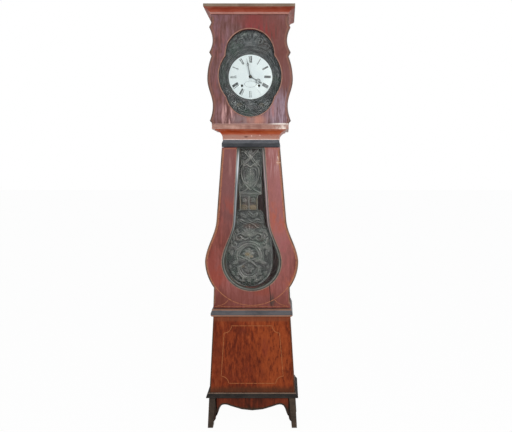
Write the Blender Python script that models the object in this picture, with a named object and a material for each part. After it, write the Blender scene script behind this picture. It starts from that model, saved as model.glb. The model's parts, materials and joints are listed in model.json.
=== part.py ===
"""A painted violin-shaped longcase clock of the Comtoise kind, in metres, +Z up, front towards -Y."""

import math

import bmesh
import bpy
from mathutils import Vector
from mathutils.geometry import delaunay_2d_cdt

for old in list(bpy.data.objects):
    bpy.data.objects.remove(old, do_unlink=True)

# Gaps between pieces
FIT = 0.0004
DOOR_GAP = 0.0010
TRUNK_HEAD_GAP = 0.0028
RUN = 0.0004

# Heights, stacked from the floor up
FOOT_H = 0.1805
BASE_BOX_H = 0.4730
BASE_MOULD_H = 0.0265
WAIST_H = 0.0416
TRUNK_DOOR_H = 0.9072
BAND_H = 0.0380
COVE_H = 0.0548
HOOD_FLOOR_H = 0.0230
HOOD_DOOR_H = 0.5785
CORNICE_H = 0.0305
TOP_BOARD_H = 0.0151

# Depths
DEPTH = 0.310
CORNICE_OUT = 0.035
HOOD_STEP = 0.039
BASE_STEP = 0.017
DOOR_T = 0.018
BACK_T = 0.018
BOARD_T = 0.014
TRUNK_BOARD_T = 0.011
GLASS_T = 0.0025
RABBET_D = 0.0060
RABBET_W = 0.0080

# Half widths of the case
HOOD_HALF = 0.1900
CORNICE_REACH = 0.0485
TOP_LIP = 0.0029
HOOD_FLOOR_HALF = 0.2078
TRUNK_TOP_HALF = 0.1500
TRUNK_FOOT_HALF = 0.2125
BASE_TOP_HALF = 0.2180
BASE_GROUND_HALF = 0.2583

# Scalloped hood door: heights above its lower edge, half widths there and the course up to each
HOOD_DOOR_FOOT_HALF = 0.2094
HOOD_DOOR_EDGE = (
    (0.0105, 0.2098, "line"),
    (0.0206, 0.2198, "line"),
    (0.1035, 0.2025, "early"),
    (0.2415, 0.2302, "ease"),
    (0.3625, 0.2067, "late"),
    (0.3835, 0.2183, "line"),
    (0.4460, 0.1990, "early"),
    (0.5135, 0.2168, "late"),
    (0.5350, 0.2056, "line"),
    (HOOD_DOOR_H, 0.2060, "line"),
)
# Front feet: widths at the top and the ground, and how far they stand out, reach back and lean
FOOT_TOP_W = 0.0364
FOOT_LOW_W = 0.0300
FOOT_TUCK = 0.0013
FOOT_PROUD = 0.006
FOOT_DEEP = 0.046
FOOT_LEAN = 0.004
REAR_LEG = 0.052
# Apron: its middle height, then insets from the foot and heights along its lower edge
APRON_MID = 0.1005
APRON_EDGE = (
    (0.1574, 0.1070),
    (0.1009, 0.1240),
    (0.0751, 0.1330),
    (0.0578, 0.1360),
    (0.0430, 0.1340),
    (0.0326, 0.1270),
    (0.0250, 0.1120),
    (0.0191, 0.0880),
    (0.0131, 0.0660),
    (0.0077, 0.0480),
    (0.0024, 0.0360),
)
# Hood opening: three discs, each a height above the dial centre and a radius
HOOD_OPENING = ((0.1145, 0.1300), (-0.0010, 0.1687), (-0.0850, 0.1310))

# Trunk front: a tapering neck that swells into a round bulb
BULB_UP = 0.2711
BULB_R = 0.2631
BULB_BLEND = 0.232
TRUNK_NECK_HALF = 0.1610
TRUNK_KINK_HALF = 0.2146
TRUNK_SHOE_HALF = 0.2200
PEAR_R = 0.1681
PEAR_TOP_HALF = 0.0762
PEAR_UP = 0.2691
PEAR_BAR = 0.0185
PEAR_TOP_BAR = 0.0085
MOULD_RISE = 0.0090

# Dial and hands
DIAL_UP = 0.2605
DIAL_R = 0.1209
DIAL_T = 0.0030
DIAL_RISE = 0.0060
WIND_X = 0.0466
WIND_DROP = 0.0470
WIND_HOLE_R = 0.0070
MINUTE_DEG = -11.3
HOUR_DEG = 119.0
MINUTE_LEN = 0.0960
HOUR_LEN = 0.0720
HAND_T = 0.0015
HOUR_RISE = 0.0140
MINUTE_RISE = 0.0180

# Movement
DIAL_BACK = 0.0215
PENDULUM_BACK = 0.0340
PLATE_BACK = 0.0345
LINE_BACK = 0.076
CAGE_HALF = 0.128
CAGE_DEPTH = 0.113
CAGE_LOW = 0.180
CAGE_HIGH = 0.1045
PLATE_HALF = 0.085
PLATE_T = 0.004
PILLAR = 0.010
ARBOR_R = 0.0025
PIVOT_R = 0.0016
ESCAPE_UP = 0.050
ANCHOR_UP = 0.078
CENTRE_MODULE = 0.0010
THIRD_MODULE = 0.0009
GREAT_TEETH = 72
LEAVES = 8
CENTRE_TEETH = 60
THIRD_TEETH = 64
ESCAPE_TEETH = 30
ESCAPE_R = 0.020
MOTION_GAP = 0.024
CANNON_TEETH = 12
MINUTE_TEETH = 36
REVERSE_TEETH = 10
HOUR_TEETH = 40
DRUM_R = 0.022
DRUM_FLANGE_R = 0.026
DRUM_ARBOR_R = 0.005
SQUARE_R = 0.004
BELL_R = 0.050
BELL_T = 0.003
BELL_H = 0.035
BELL_UP = 0.0195
BELL_BACK = 0.058
BELL_GAP = 0.0035
BELL_POST_R = 0.0060
BELL_BOLT_R = 0.0033
BELL_BOLT_H = 0.0100
HAMMER_X = -0.075
HAMMER_UP = 0.090
HAMMER_SLOT = 0.006

# Weights, lines and pendulum
LINE_R = 0.0015
WEIGHT_R = 0.045
WEIGHT_H = 0.190
WEIGHT_LOW = 0.225
WEIGHT_KNOB = ((0.012, 0.006), (0.006, 0.014), (0.006, 0.020), (0.0085, 0.026), (0.006, 0.033), (0.0, 0.035))
PENDULUM_LEAN = math.radians(0.88)
PENDULUM_R = 0.138
PENDULUM_TOP_UP = 0.943
BOB_DROP = 0.0116
# Shoulder of the pendulum sheet: how far inside its round foot's radius, and heights above the bob's centre
SHEET_SHOULDER = (
    (0.0010, 0.0725),
    (0.0070, 0.1425),
    (0.0160, 0.1875),
    (0.0380, 0.2045),
)
# Neck of the pendulum sheet: half widths and heights above the bob's centre
SHEET_NECK = (
    (0.0900, 0.2105),
    (0.0895, 0.2515),
    (0.0850, 0.2775),
    (0.0770, 0.2945),
    (0.0535, 0.3015),
    (0.0535, 0.3825),
    (0.0600, 0.3925),
    (0.0670, 0.4065),
)
SHEET_T = 0.0030
SHEET_SWELL = 0.0060
SHEET_RIB = 0.0040
ROD_T = 0.0040
BOB_R = 0.080
BOB_T = 0.018
BOB_PLATE = 0.010

# Levels
z_foot = FOOT_H
z_base0 = z_foot + FIT
z_base1 = z_base0 + BASE_BOX_H
z_waist0 = z_base1 + FIT
z_waist1 = z_waist0 + WAIST_H
z_door0 = z_waist1 + DOOR_GAP
z_door1 = z_door0 + TRUNK_DOOR_H
z_band0 = z_door1 + TRUNK_HEAD_GAP
z_band1 = z_band0 + BAND_H
z_cove0 = z_band1 + FIT
z_cove1 = z_cove0 + COVE_H
z_floor0 = z_cove1 + FIT
z_floor1 = z_floor0 + HOOD_FLOOR_H
z_hood0 = z_floor1 + DOOR_GAP
z_hood1 = z_hood0 + HOOD_DOOR_H
z_corn0 = z_hood1 + DOOR_GAP
z_corn1 = z_corn0 + CORNICE_H
z_top0 = z_corn1 + FIT
z_top1 = z_top0 + TOP_BOARD_H
z_dial = z_floor1 + DIAL_UP
z_hang = z_dial + ANCHOR_UP
z_bulb = z_door0 + BULB_UP
z_pear = z_door0 + PEAR_UP
z_bob = z_pear - BOB_DROP

# Planes in depth
y_front = -DEPTH / 2
y_back = DEPTH / 2
y_case = y_back - BACK_T
y_hood_f = y_front + CORNICE_OUT
y_hood_b = y_hood_f + DOOR_T
y_hood_side = y_hood_b + FIT
y_trunk_f = y_hood_f + HOOD_STEP
y_trunk_b = y_trunk_f + DOOR_T
y_trunk_side = y_trunk_b + FIT
y_base_f = y_trunk_f - BASE_STEP
y_base_b = y_base_f + DOOR_T
y_dial = y_hood_b + DIAL_BACK
y_pend = y_dial + PENDULUM_BACK
y_plate = y_pend + PLATE_BACK
y_cage = y_plate + PLATE_T
y_rear = y_plate + CAGE_DEPTH
y_line = y_plate + LINE_BACK


def trunk_half(z):
    if z >= z_band0:
        return TRUNK_TOP_HALF
    return TRUNK_TOP_HALF + (TRUNK_FOOT_HALF - TRUNK_TOP_HALF) * (z_band0 - z) / (z_band0 - z_waist0)


def base_half(z):
    return BASE_TOP_HALF + (BASE_GROUND_HALF - BASE_TOP_HALF) * (z_base1 - z) / z_base1


# Materials: name, colour, metallic, roughness
PAINTS = {
    "red_paint": ((0.22, 0.07, 0.05), 0.0, 0.55),
    "black_paint": ((0.05, 0.05, 0.05), 0.0, 0.45),
    "bare_pine": ((0.42, 0.29, 0.17), 0.0, 0.7),
    "glass": ((0.8, 0.85, 0.85), 0.0, 0.05),
    "iron": ((0.18, 0.17, 0.16), 1.0, 0.5),
    "brass": ((0.55, 0.42, 0.18), 1.0, 0.35),
    "pressed_brass": ((0.20, 0.19, 0.13), 1.0, 0.5),
    "enamel": ((0.80, 0.82, 0.83), 0.0, 0.2),
    "blued_steel": ((0.04, 0.04, 0.05), 1.0, 0.4),
    "bell_metal": ((0.60, 0.48, 0.30), 1.0, 0.3),
    "gut_line": ((0.45, 0.38, 0.26), 0.0, 0.7),
}
SMOOTH_ANGLE = math.radians(35)
paints = {}
for key, (colour, metallic, roughness) in PAINTS.items():
    paint = bpy.data.materials.new(key)
    paint.use_nodes = True
    shader = paint.node_tree.nodes["Principled BSDF"]
    shader.inputs["Base Color"].default_value = (*colour, 1.0)
    shader.inputs["Metallic"].default_value = metallic
    shader.inputs["Roughness"].default_value = roughness
    paints[key] = paint


def node(name, points, faces, paint, origin=(0.0, 0.0, 0.0)):
    """One closed body, its origin at the given point."""
    home = Vector(origin)
    mesh = bpy.data.meshes.new(name)
    mesh.from_pydata([Vector(p) - home for p in points], [], faces)
    shape = bmesh.new()
    shape.from_mesh(mesh)
    bmesh.ops.recalc_face_normals(shape, faces=shape.faces)
    if shape.calc_volume(signed=True) < 0:
        bmesh.ops.reverse_faces(shape, faces=shape.faces)
    shape.to_mesh(mesh)
    shape.free()
    mesh.shade_smooth()
    mesh.set_sharp_from_angle(angle=SMOOTH_ANGLE)
    mesh.materials.append(paints[paint])
    made = bpy.data.objects.new(name, mesh)
    made.location = home
    bpy.context.scene.collection.objects.link(made)
    return made


def within(p, loops):
    """True where a point lies inside an odd number of the loops."""
    odd = False
    for loop in loops:
        for (ax, az), (bx, bz) in zip(loop, loop[1:] + loop[:1]):
            if (az > p[1]) != (bz > p[1]) and p[0] < ax + (bx - ax) * (p[1] - az) / (bz - az):
                odd = not odd
    return odd


def cover(loops, inner=()):
    """Triangles over the area between the loops, as indices into their points, then the inner points."""
    flat = [Vector(p) for loop in loops for p in loop] + [Vector(p) for p in inner]
    edges = []
    start = 0
    for loop in loops:
        count = len(loop)
        edges += [(start + i, start + (i + 1) % count) for i in range(count)]
        start += count
    made = delaunay_2d_cdt(flat, edges, [], 1, 1e-7)
    back = [min(kept) for kept in made[3]]
    found = []
    for face in made[2]:
        middle = sum((made[0][i] for i in face), Vector((0.0, 0.0))) / 3
        if within(middle, loops):
            found.append(tuple(back[i] for i in face))
    return found


def between(name, loops, place_a, place_b, paint, inner=(), origin=(0.0, 0.0, 0.0)):
    """The solid between two mapped copies of a flat area with holes."""
    flat = [p for loop in loops for p in loop] + list(inner)
    size = len(flat)
    points = [place_a(*p) for p in flat] + [place_b(*p) for p in flat]
    caps = cover(loops, inner)
    faces = list(caps) + [tuple(size + i for i in reversed(face)) for face in caps]
    start = 0
    for loop in loops:
        count = len(loop)
        for i in range(count):
            a = start + i
            b = start + (i + 1) % count
            faces.append((a, b, size + b, size + a))
        start += count
    return node(name, points, faces, paint, origin)


def slab(name, loops, y0, y1, paint, inner=(), swell=None, origin=(0.0, 0.0, 0.0)):
    """A plate in the XZ plane, with an optional forward swelling of both faces."""
    def lift(x, z):
        return swell(x, z) if swell else 0.0

    return between(
        name,
        loops,
        lambda x, z: (x, y0 - lift(x, z), z),
        lambda x, z: (x, y1 - lift(x, z), z),
        paint,
        inner,
        origin,
    )


def box(name, x0, x1, y0, y1, z0, z1, paint):
    return slab(name, [[(x0, z0), (x1, z0), (x1, z1), (x0, z1)]], y0, y1, paint)


def along_y(x, z):
    """Places section points, with the length running along +Y."""
    return lambda a, b, t: (x + a, t, z + b)


def swung(a, b, t):
    """Places section points about the pendulum's axis, swung to where the pendulum rests."""
    turn, rise = math.sin(PENDULUM_LEAN), math.cos(PENDULUM_LEAN)
    return a * rise + b * turn, t, z_hang + b * rise - a * turn


def along_z(x, y):
    return lambda a, b, t: (x + a, y + b, t)


def stack(name, place, start, sections, paint, holes=(), front=(), rear=(), origin=(0.0, 0.0, 0.0)):
    """Prisms joined end to end. Each section is (loop, end). front and rear are chains of sections."""
    points = []
    faces = []

    def ring(loop, t):
        first = len(points)
        points.extend(place(a, b, t) for a, b in loop)
        return list(range(first, len(points)))

    def wall(low, high):
        count = len(low)
        for i in range(count):
            j = (i + 1) % count
            faces.append((low[i], low[j], high[j], high[i]))

    def cap(loops, rings):
        order = [i for one in rings for i in one]
        for face in cover(loops):
            faces.append(tuple(order[i] for i in face))

    def chain(first_loop, first_ring, parts):
        loop, low = first_loop, first_ring
        for number, (shape, end) in enumerate(parts):
            if number:
                top = ring(shape, here)
                cap([loop, shape], [low, top])
                low = top
            high = ring(shape, end)
            wall(low, high)
            loop, low, here = shape, high, end
        return loop, low

    base = sections[0][0]
    first = ring(base, start)
    hole_first = [ring(hole, start) for hole in holes]
    front_rings = [ring(parts[0][0], start) for parts in front]
    cap(
        [base] + list(holes) + [parts[0][0] for parts in front],
        [first] + hole_first + front_rings,
    )
    for parts, low in zip(front, front_rings):
        last_loop, last = chain(parts[0][0], low, parts)
        cap([last_loop], [last])
    loop, low = chain(base, first, sections)
    stop = sections[-1][1]
    hole_last = [ring(hole, stop) for hole in holes]
    for a, b in zip(hole_first, hole_last):
        wall(a, b)
    rear_rings = [ring(parts[0][0], stop) for parts in rear]
    cap(
        [loop] + list(holes) + [parts[0][0] for parts in rear],
        [low] + hole_last + rear_rings,
    )
    for parts, start_ring in zip(rear, rear_rings):
        last_loop, last = chain(parts[0][0], start_ring, parts)
        cap([last_loop], [last])
    return node(name, points, faces, paint, origin)


def disc(radius, count=16, x=0.0, z=0.0, turn=0.0):
    step = 2 * math.pi / count
    return [
        (x + radius * math.cos(turn + step * i), z + radius * math.sin(turn + step * i))
        for i in range(count)
    ]


def lathe(name, profile, x, y, paint, count=24):
    """A closed profile of (radius, height) turned about the vertical through x, y."""
    points = []
    rings = []
    for radius, z in profile:
        if radius < 1e-6:
            rings.append([len(points)] * count)
            points.append((x, y, z))
            continue
        rings.append(list(range(len(points), len(points) + count)))
        points.extend((x + a, y + b, z) for a, b in disc(radius, count))
    faces = []
    for low, high in zip(rings, rings[1:] + rings[:1]):
        if low[0] == low[1] and high[0] == high[1]:
            continue
        for i in range(count):
            j = (i + 1) % count
            corner = [low[i], low[j], high[j], high[i]]
            faces.append(tuple(dict.fromkeys(corner)))
    return node(name, points, faces, paint)


def moulding(name, profile, paint):
    """A moulding mitred round the front and both sides. Profile rows are (half width, front y, z)."""
    points = []
    for half, y, z in profile:
        points += [(-half, y_back, z), (-half, y, z), (half, y, z), (half, y_back, z)]
    count = len(profile)
    faces = []
    for i in range(count):
        j = (i + 1) % count
        for k in range(3):
            faces.append((4 * i + k, 4 * j + k, 4 * j + k + 1, 4 * i + k + 1))
    for side, mirror in ((0, -1), (3, 1)):
        flat = [(mirror * points[4 * i + side][0], points[4 * i + side][2]) for i in range(count)]
        faces += [tuple(4 * i + side for i in face) for face in cover([flat])]
    return node(name, points, faces, paint)


def stroke(path, half):
    """A band of the given half width along a path, squared at its ends."""
    left = []
    right = []
    for i, p in enumerate(path):
        before = Vector(path[max(i - 1, 0)])
        after = Vector(path[min(i + 1, len(path) - 1)])
        here = Vector(p)
        runs = [v.normalized() for v in (here - before, after - here) if v.length > 1e-9]
        run = sum(runs, Vector((0.0, 0.0))).normalized()
        side = Vector((-run.y, run.x)) * half / max(0.5, run.dot(runs[0]))
        left.append(tuple(here + side))
        right.append(tuple(here - side))
    return left + right[::-1]


def leaves(count, module, turn=0.0):
    """Stub involute pinion leaves of 25 degrees, thinned for backlash. A leaf stands at the angle turn."""
    pitch = count * module / 2
    base = pitch * math.cos(math.radians(25))
    tip = pitch + 0.8 * module
    root = pitch - module

    def spread(radius):
        lean = math.acos(min(1.0, base / radius))
        return math.tan(lean) - lean

    thick = (math.pi / 2 - 0.22) / count + spread(pitch)
    flank = [(max(root, base), thick - spread(max(root, base))), (tip, thick - spread(tip))]
    if base > root:
        flank.insert(0, (root, thick))
    loop = []
    for i in range(count):
        middle = turn + 2 * math.pi * i / count
        loop += [(r * math.cos(middle - a), r * math.sin(middle - a)) for r, a in flank]
        loop += [(r * math.cos(middle + a), r * math.sin(middle + a)) for r, a in reversed(flank)]
    return loop


def wheel(teeth, module, turn=0.0):
    """Pointed wheel teeth, deep enough for the leaves of a pinion. A tooth stands at the angle turn."""
    pitch = teeth * module / 2
    loop = []
    for i in range(2 * teeth):
        radius = pitch - 1.5 * module if i % 2 else pitch + 0.8 * module
        a = turn + math.pi * i / teeth
        loop.append((radius * math.cos(a), radius * math.sin(a)))
    return loop


def ratchet(teeth, tip, root):
    loop = []
    for i in range(teeth):
        a = 2 * math.pi * i / teeth
        loop.append((root * math.cos(a), root * math.sin(a)))
        b = a + 1.6 * math.pi / teeth
        loop.append((tip * math.cos(b), tip * math.sin(b)))
    return loop


def mirrored(right):
    """A closed loop from its right-hand side, listed from the bottom up."""
    return list(right) + [(-x, z) for x, z in reversed(right) if abs(x) > 1e-9]


# Hood door outline and opening
def hood_edge():
    low = 0.0
    half = HOOD_DOOR_FOOT_HALF
    rows = [(half, z_hood0)]
    for high, goal, course in HOOD_DOOR_EDGE:
        count = 1 if course == "line" else 7
        for i in range(1, count + 1):
            u = i / count
            share = {
                "line": u,
                "ease": 0.5 - 0.5 * math.cos(math.pi * u),
                "early": 1 - (1 - u) ** 2,
                "late": u ** 2,
            }[course]
            rows.append((half + (goal - half) * share, z_hood0 + low + (high - low) * u))
        low, half = high, goal
    return mirrored(rows)


def hood_hole(grow=0.0):
    """The right-hand half of three overlapping discs, closed by its mirror image."""
    discs = [(z_dial + up, radius + grow) for up, radius in HOOD_OPENING]
    top = discs[0][0] + discs[0][1]
    low = discs[2][0] - discs[2][1]
    rows = [(0.0, low)]
    count = 30
    for i in range(1, count):
        z = (top + low) / 2 - (top - low) / 2 * math.cos(math.pi * i / count)
        half = max(math.sqrt(max(0.0, r * r - (z - c) ** 2)) for c, r in discs)
        rows.append((half, z))
    rows.append((0.0, top))
    return mirrored(rows)


def pear(radius, centre, neck_half, top, steps=14, arc=12):
    """A round bulb that narrows upwards into a tapering neck: the right-hand side from the bottom up."""
    slope = (radius * 0.68 - neck_half) / (top - centre)
    rows = []
    for i in range(arc + 1):
        a = -math.pi / 2 + math.pi / 2 * i / arc
        rows.append((radius * math.cos(a) if i else 0.0, centre + radius * math.sin(a)))
    for i in range(1, steps + 1):
        u = i / steps
        z = centre + (top - centre) * (u ** 1.5 if u < 1 else 1.0)
        line = neck_half + slope * (top - z)
        swell = radius - neck_half - slope * (top - centre)
        share = min(1.0, (z - centre) / BULB_BLEND)
        rows.append((line + swell * (0.5 + 0.5 * math.cos(math.pi * share)), z))
    return rows


def trunk_edge():
    drop = math.sqrt(BULB_R ** 2 - TRUNK_KINK_HALF ** 2)
    rows = [(TRUNK_SHOE_HALF, z_door0)]
    low = -math.asin(drop / BULB_R)
    for i in range(11):
        a = low * (1 - i / 10)
        rows.append((BULB_R * math.cos(a), z_bulb + BULB_R * math.sin(a)))
    slope = (BULB_R * 0.817 - TRUNK_NECK_HALF) / (z_door1 - z_bulb)
    for i in range(1, 17):
        z = z_bulb + (z_door1 - z_bulb) * (i / 16) ** 1.5
        line = TRUNK_NECK_HALF + slope * (z_door1 - z)
        share = min(1.0, (z - z_bulb) / BULB_BLEND)
        swell = BULB_R * (1 - 0.817)
        rows.append((line + swell * (0.5 + 0.5 * math.cos(math.pi * share)), z))
    return mirrored(rows)


pear_outer = mirrored(pear(PEAR_R, z_pear, PEAR_TOP_HALF, z_door1 - FIT))
pear_inner = mirrored(
    pear(PEAR_R - PEAR_BAR, z_pear, PEAR_TOP_HALF - PEAR_BAR, z_door1 - FIT - PEAR_TOP_BAR)
)
pear_rabbet = mirrored(
    pear(PEAR_R - PEAR_BAR + RABBET_W, z_pear, PEAR_TOP_HALF - PEAR_BAR + RABBET_W,
         z_door1 - FIT - PEAR_TOP_BAR + 0.5 * PEAR_TOP_BAR)
)
pear_glass = mirrored(
    pear(PEAR_R - PEAR_BAR + RABBET_W - RUN, z_pear, PEAR_TOP_HALF - PEAR_BAR + RABBET_W - RUN,
         z_door1 - FIT - PEAR_TOP_BAR + 0.5 * PEAR_TOP_BAR - RUN)
)


def rabbeted(name, outer, hole, rabbet, y0, y1, y2, paint, origin):
    """A door board with a through opening that is wider behind, for the glass."""
    points = []
    faces = []

    def ring(loop, y):
        first = len(points)
        points.extend((x, y, z) for x, z in loop)
        return list(range(first, len(points)))

    def wall(low, high):
        for i in range(len(low)):
            j = (i + 1) % len(low)
            faces.append((low[i], low[j], high[j], high[i]))

    def cap(loops, rings):
        order = [i for one in rings for i in one]
        faces.extend(tuple(order[i] for i in face) for face in cover(loops))

    face_outer, back_outer = ring(outer, y0), ring(outer, y2)
    face_hole, step_hole = ring(hole, y0), ring(hole, y1)
    step_rabbet, back_rabbet = ring(rabbet, y1), ring(rabbet, y2)
    wall(face_outer, back_outer)
    wall(face_hole, step_hole)
    wall(step_rabbet, back_rabbet)
    cap([outer, hole], [face_outer, face_hole])
    cap([rabbet, hole], [step_rabbet, step_hole])
    cap([outer, rabbet], [back_outer, back_rabbet])
    return node(name, points, faces, paint, origin)


# Hinge lines of the two doors, on the right-hand edge of the case
KNUCKLE_R = 0.0035
PIN_R = 0.0018
KNUCKLE_H = 0.022
LEAF_T = 0.0018
FIXED_LEAF = 0.028
hood_axis_x = HOOD_HALF + KNUCKLE_R + FIT
hood_axis_y = y_hood_b + KNUCKLE_R + FIT
trunk_axis_y = y_trunk_b + KNUCKLE_R + FIT
trunk_tilt = math.atan2(TRUNK_FOOT_HALF - TRUNK_TOP_HALF, z_band0 - z_waist0)
trunk_off = (KNUCKLE_R + FIT) / math.cos(trunk_tilt)


def trunk_axis_x(z):
    return trunk_half(z) + trunk_off


def knuckle(reach):
    """Section of a leaf with its knuckle: the leaf runs along +b, on the -a side."""
    inner = -KNUCKLE_R + LEAF_T
    rise = math.sqrt(KNUCKLE_R ** 2 - inner ** 2)
    first = math.atan2(rise, inner)
    loop = [(-KNUCKLE_R, reach), (inner, reach)]
    for i in range(13):
        a = first - (first + math.pi) * i / 12
        loop.append((KNUCKLE_R * math.cos(a), KNUCKLE_R * math.sin(a)))
    return loop


def hinge(name, foot, tilt, door_reach, origin):
    """A lift-off hinge: a pintle on the case side, and an eye on the back of the door."""
    up = Vector((-math.sin(tilt), 0.0, math.cos(tilt)))
    out = Vector((math.cos(tilt), 0.0, math.sin(tilt)))
    back = Vector((0.0, 1.0, 0.0))
    home = Vector(foot)

    def case_side(a, b, t):
        return tuple(home + out * a + back * b + up * t)

    def door_side(a, b, t):
        return tuple(home + out * b + back * a + up * t)

    stack(
        name + "_pintle", case_side, 0.0,
        [(knuckle(FIXED_LEAF), KNUCKLE_H), (disc(PIN_R, 12), 2 * KNUCKLE_H)], "iron",
    )
    stack(
        name + "_eye", door_side, KNUCKLE_H + RUN, [(knuckle(door_reach), 2 * KNUCKLE_H + RUN)],
        "iron", holes=[disc(PIN_R + RUN, 12)], origin=origin,
    )


# Base
base_profile = [(base_half(z_base0), z_base0), (base_half(z_base1), z_base1)]
slab("base_front", [mirrored(base_profile)], y_base_f, y_base_b, "red_paint")
foot_in = base_half(z_foot) - FOOT_TOP_W
ground_out = BASE_GROUND_HALF - FOOT_TUCK
ground_in = ground_out - FOOT_LOW_W
side_loop = [
    (y_base_b + FIT, z_base0),
    (y_case - FIT - REAR_LEG, z_base0),
    (y_case - FIT - REAR_LEG, 0.0),
    (y_case - FIT, 0.0),
    (y_case - FIT, z_base1),
    (y_base_b + FIT, z_base1),
]
for side, sign in (("left", -1), ("right", 1)):
    between(
        "base_side_" + side,
        [side_loop],
        lambda y, z, s=sign: (s * base_half(z), y, z),
        lambda y, z, s=sign: (s * (base_half(z) - BOARD_T), y, z),
        "red_paint",
    )
    corners = []
    for z, x_in, x_out, lean in (
        (0.0, ground_in, ground_out, FOOT_LEAN),
        (z_foot, foot_in, base_half(z_foot), 0.0),
    ):
        y = y_base_f - FOOT_PROUD - lean
        for x, back in ((x_in, 0.0), (x_out, 0.0), (x_out, FOOT_DEEP), (x_in, FOOT_DEEP)):
            corners.append((sign * x, y + back, z))
    node(
        "foot_" + side,
        corners,
        [(0, 1, 2, 3), (4, 5, 6, 7), (0, 1, 5, 4), (1, 2, 6, 5), (2, 3, 7, 6), (3, 0, 4, 7)],
        "black_paint",
    )


def foot_inner(z):
    return foot_in + (ground_in - foot_in) * (z_foot - z) / z_foot


apron_side = [(0.0, APRON_MID)] + [(foot_inner(z) - inset, z) for inset, z in APRON_EDGE]
apron_side += [(foot_inner(z) - FIT, z) for z in (APRON_EDGE[-1][1], z_foot)]
slab("apron", [apron_side + [(-x, z) for x, z in reversed(apron_side) if x > 0]],
     y_base_f, y_base_b, "red_paint")


def run_out(reach, half_at, y_at):
    """A profile row that stands reach out from the sides and from the front."""
    return lambda z: (half_at(z) + reach, y_at - reach, z)


def rows(pairs, half_at, y_at):
    return [run_out(reach, half_at, y_at)(z) for reach, z in pairs]


z_bm1 = z_base0 + BASE_MOULD_H
moulding(
    "base_moulding",
    rows([(FIT, z_bm1), (FIT, z_base0)], base_half, y_base_f)
    + rows(
        [(0.0160, z_base0), (0.0165, z_base0 + 0.0070), (0.0120, z_base0 + 0.0105),
         (0.0070, z_base0 + 0.0170), (0.0045, z_base0 + 0.0225), (0.0045, z_bm1)],
        base_half, y_base_f),
    "black_paint",
)
moulding(
    "waist_moulding",
    [(trunk_half(z) + FIT, y_trunk_b + FIT * 0.5, z) for z in (z_waist1, z_waist0)]
    + [(BASE_TOP_HALF + d, y_base_f - d, z) for d, z in (
        (0.0060, z_waist0), (0.0105, z_waist0 + 0.0042), (0.0132, z_waist0 + 0.0107),
        (0.0132, z_waist0 + 0.0207), (0.0110, z_waist0 + 0.0270), (0.0082, z_waist0 + 0.0330),
        (0.0065, z_waist0 + 0.0375), (0.0065, z_waist1))],
    "black_paint",
)

# Trunk carcass
for side, sign in (("left", -1), ("right", 1)):
    zs = (z_base1 + FIT, z_band0, z_floor0 - FIT)
    outer_line = [(sign * trunk_half(z), z) for z in zs]
    inner_line = [(sign * (trunk_half(z) - TRUNK_BOARD_T), z) for z in reversed(zs)]
    slab("trunk_side_" + side, [outer_line + inner_line], y_trunk_side, y_case - FIT, "red_paint")

NECK = 0.0030
moulding(
    "neck_band",
    [(trunk_half(z) + FIT, y_trunk_b + FIT * 0.5, z) for z in (z_band1, z_band0)]
    + [(TRUNK_TOP_HALF + d, y_trunk_f + NECK - d, z) for d, z in (
        (0.0100, z_band0), (0.0100, z_band0 + 0.0185), (0.0085, z_band0 + 0.0225),
        (0.0040, z_band1 - 0.003), (0.0040, z_band1))],
    "black_paint",
)
moulding(
    "neck_cove",
    [(trunk_half(z) + FIT, y_trunk_b + FIT * 0.5, z) for z in (z_cove1, z_cove0)]
    + [(TRUNK_TOP_HALF + d, y_trunk_f + NECK - d, z) for d, z in (
        (0.0057, z_cove0), (0.0057, z_cove0 + 0.0150), (0.0068, z_cove0 + 0.0190),
        (0.0085, z_cove0 + 0.0255), (0.0125, z_cove0 + 0.0325), (0.0190, z_cove0 + 0.0395),
        (0.0280, z_cove0 + 0.0460), (0.0370, z_cove0 + 0.0495), (0.0407, z_cove0 + 0.0500),
        (0.0407, z_cove1))],
    "red_paint",
)

# Hood
FLOOR_LIP = 0.004
FLOOR_HOLE_X = 0.098
y_floor_f = y_hood_f - FLOOR_LIP
y_hole0 = y_trunk_side + 0.003
y_hole1 = y_line + 0.034
between(
    "hood_floor",
    [
        [(-HOOD_FLOOR_HALF, y_floor_f), (HOOD_FLOOR_HALF, y_floor_f),
         (HOOD_FLOOR_HALF, y_case - FIT), (-HOOD_FLOOR_HALF, y_case - FIT)],
        [(-FLOOR_HOLE_X, y_hole0), (FLOOR_HOLE_X, y_hole0), (FLOOR_HOLE_X, y_hole1),
         (-FLOOR_HOLE_X, y_hole1)],
    ],
    lambda x, y: (x, y, z_floor0),
    lambda x, y: (x, y, z_floor1),
    "red_paint",
)
for side, sign in (("left", -1), ("right", 1)):
    xs = sorted((sign * HOOD_HALF, sign * (HOOD_HALF - BOARD_T)))
    box("hood_side_" + side, xs[0], xs[1], y_hood_side, y_case - FIT, z_floor1 + FIT, z_top0 - FIT,
        "red_paint")
top_half = HOOD_HALF + CORNICE_REACH + TOP_LIP
box("hood_top", -top_half, top_half, y_front, y_back, z_top0, z_top1, "red_paint")
y_cornice = y_front + CORNICE_REACH + TOP_LIP
moulding(
    "cornice",
    [(HOOD_HALF + FIT, y_hood_b + FIT * 0.5, z) for z in (z_corn1, z_corn0)]
    + [(HOOD_HALF + share * CORNICE_REACH, y_cornice - share * CORNICE_REACH, z) for share, z in (
        (0.392, z_corn0), (0.392, z_corn0 + 0.0045), (0.423, z_corn0 + 0.0100),
        (0.515, z_corn0 + 0.0160), (0.680, z_corn0 + 0.0225), (0.866, z_corn0 + 0.0260),
        (1.0, z_corn0 + 0.0270), (1.0, z_corn1))],
    "red_paint",
)
back_side = [
    (base_half(z_base0), z_base0),
    (base_half(z_base1), z_base1),
    (trunk_half(z_base1), z_base1),
    (TRUNK_TOP_HALF, z_band0),
    (TRUNK_TOP_HALF, z_floor0),
    (HOOD_HALF, z_floor0),
    (HOOD_HALF, z_top0 - FIT),
]
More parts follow.
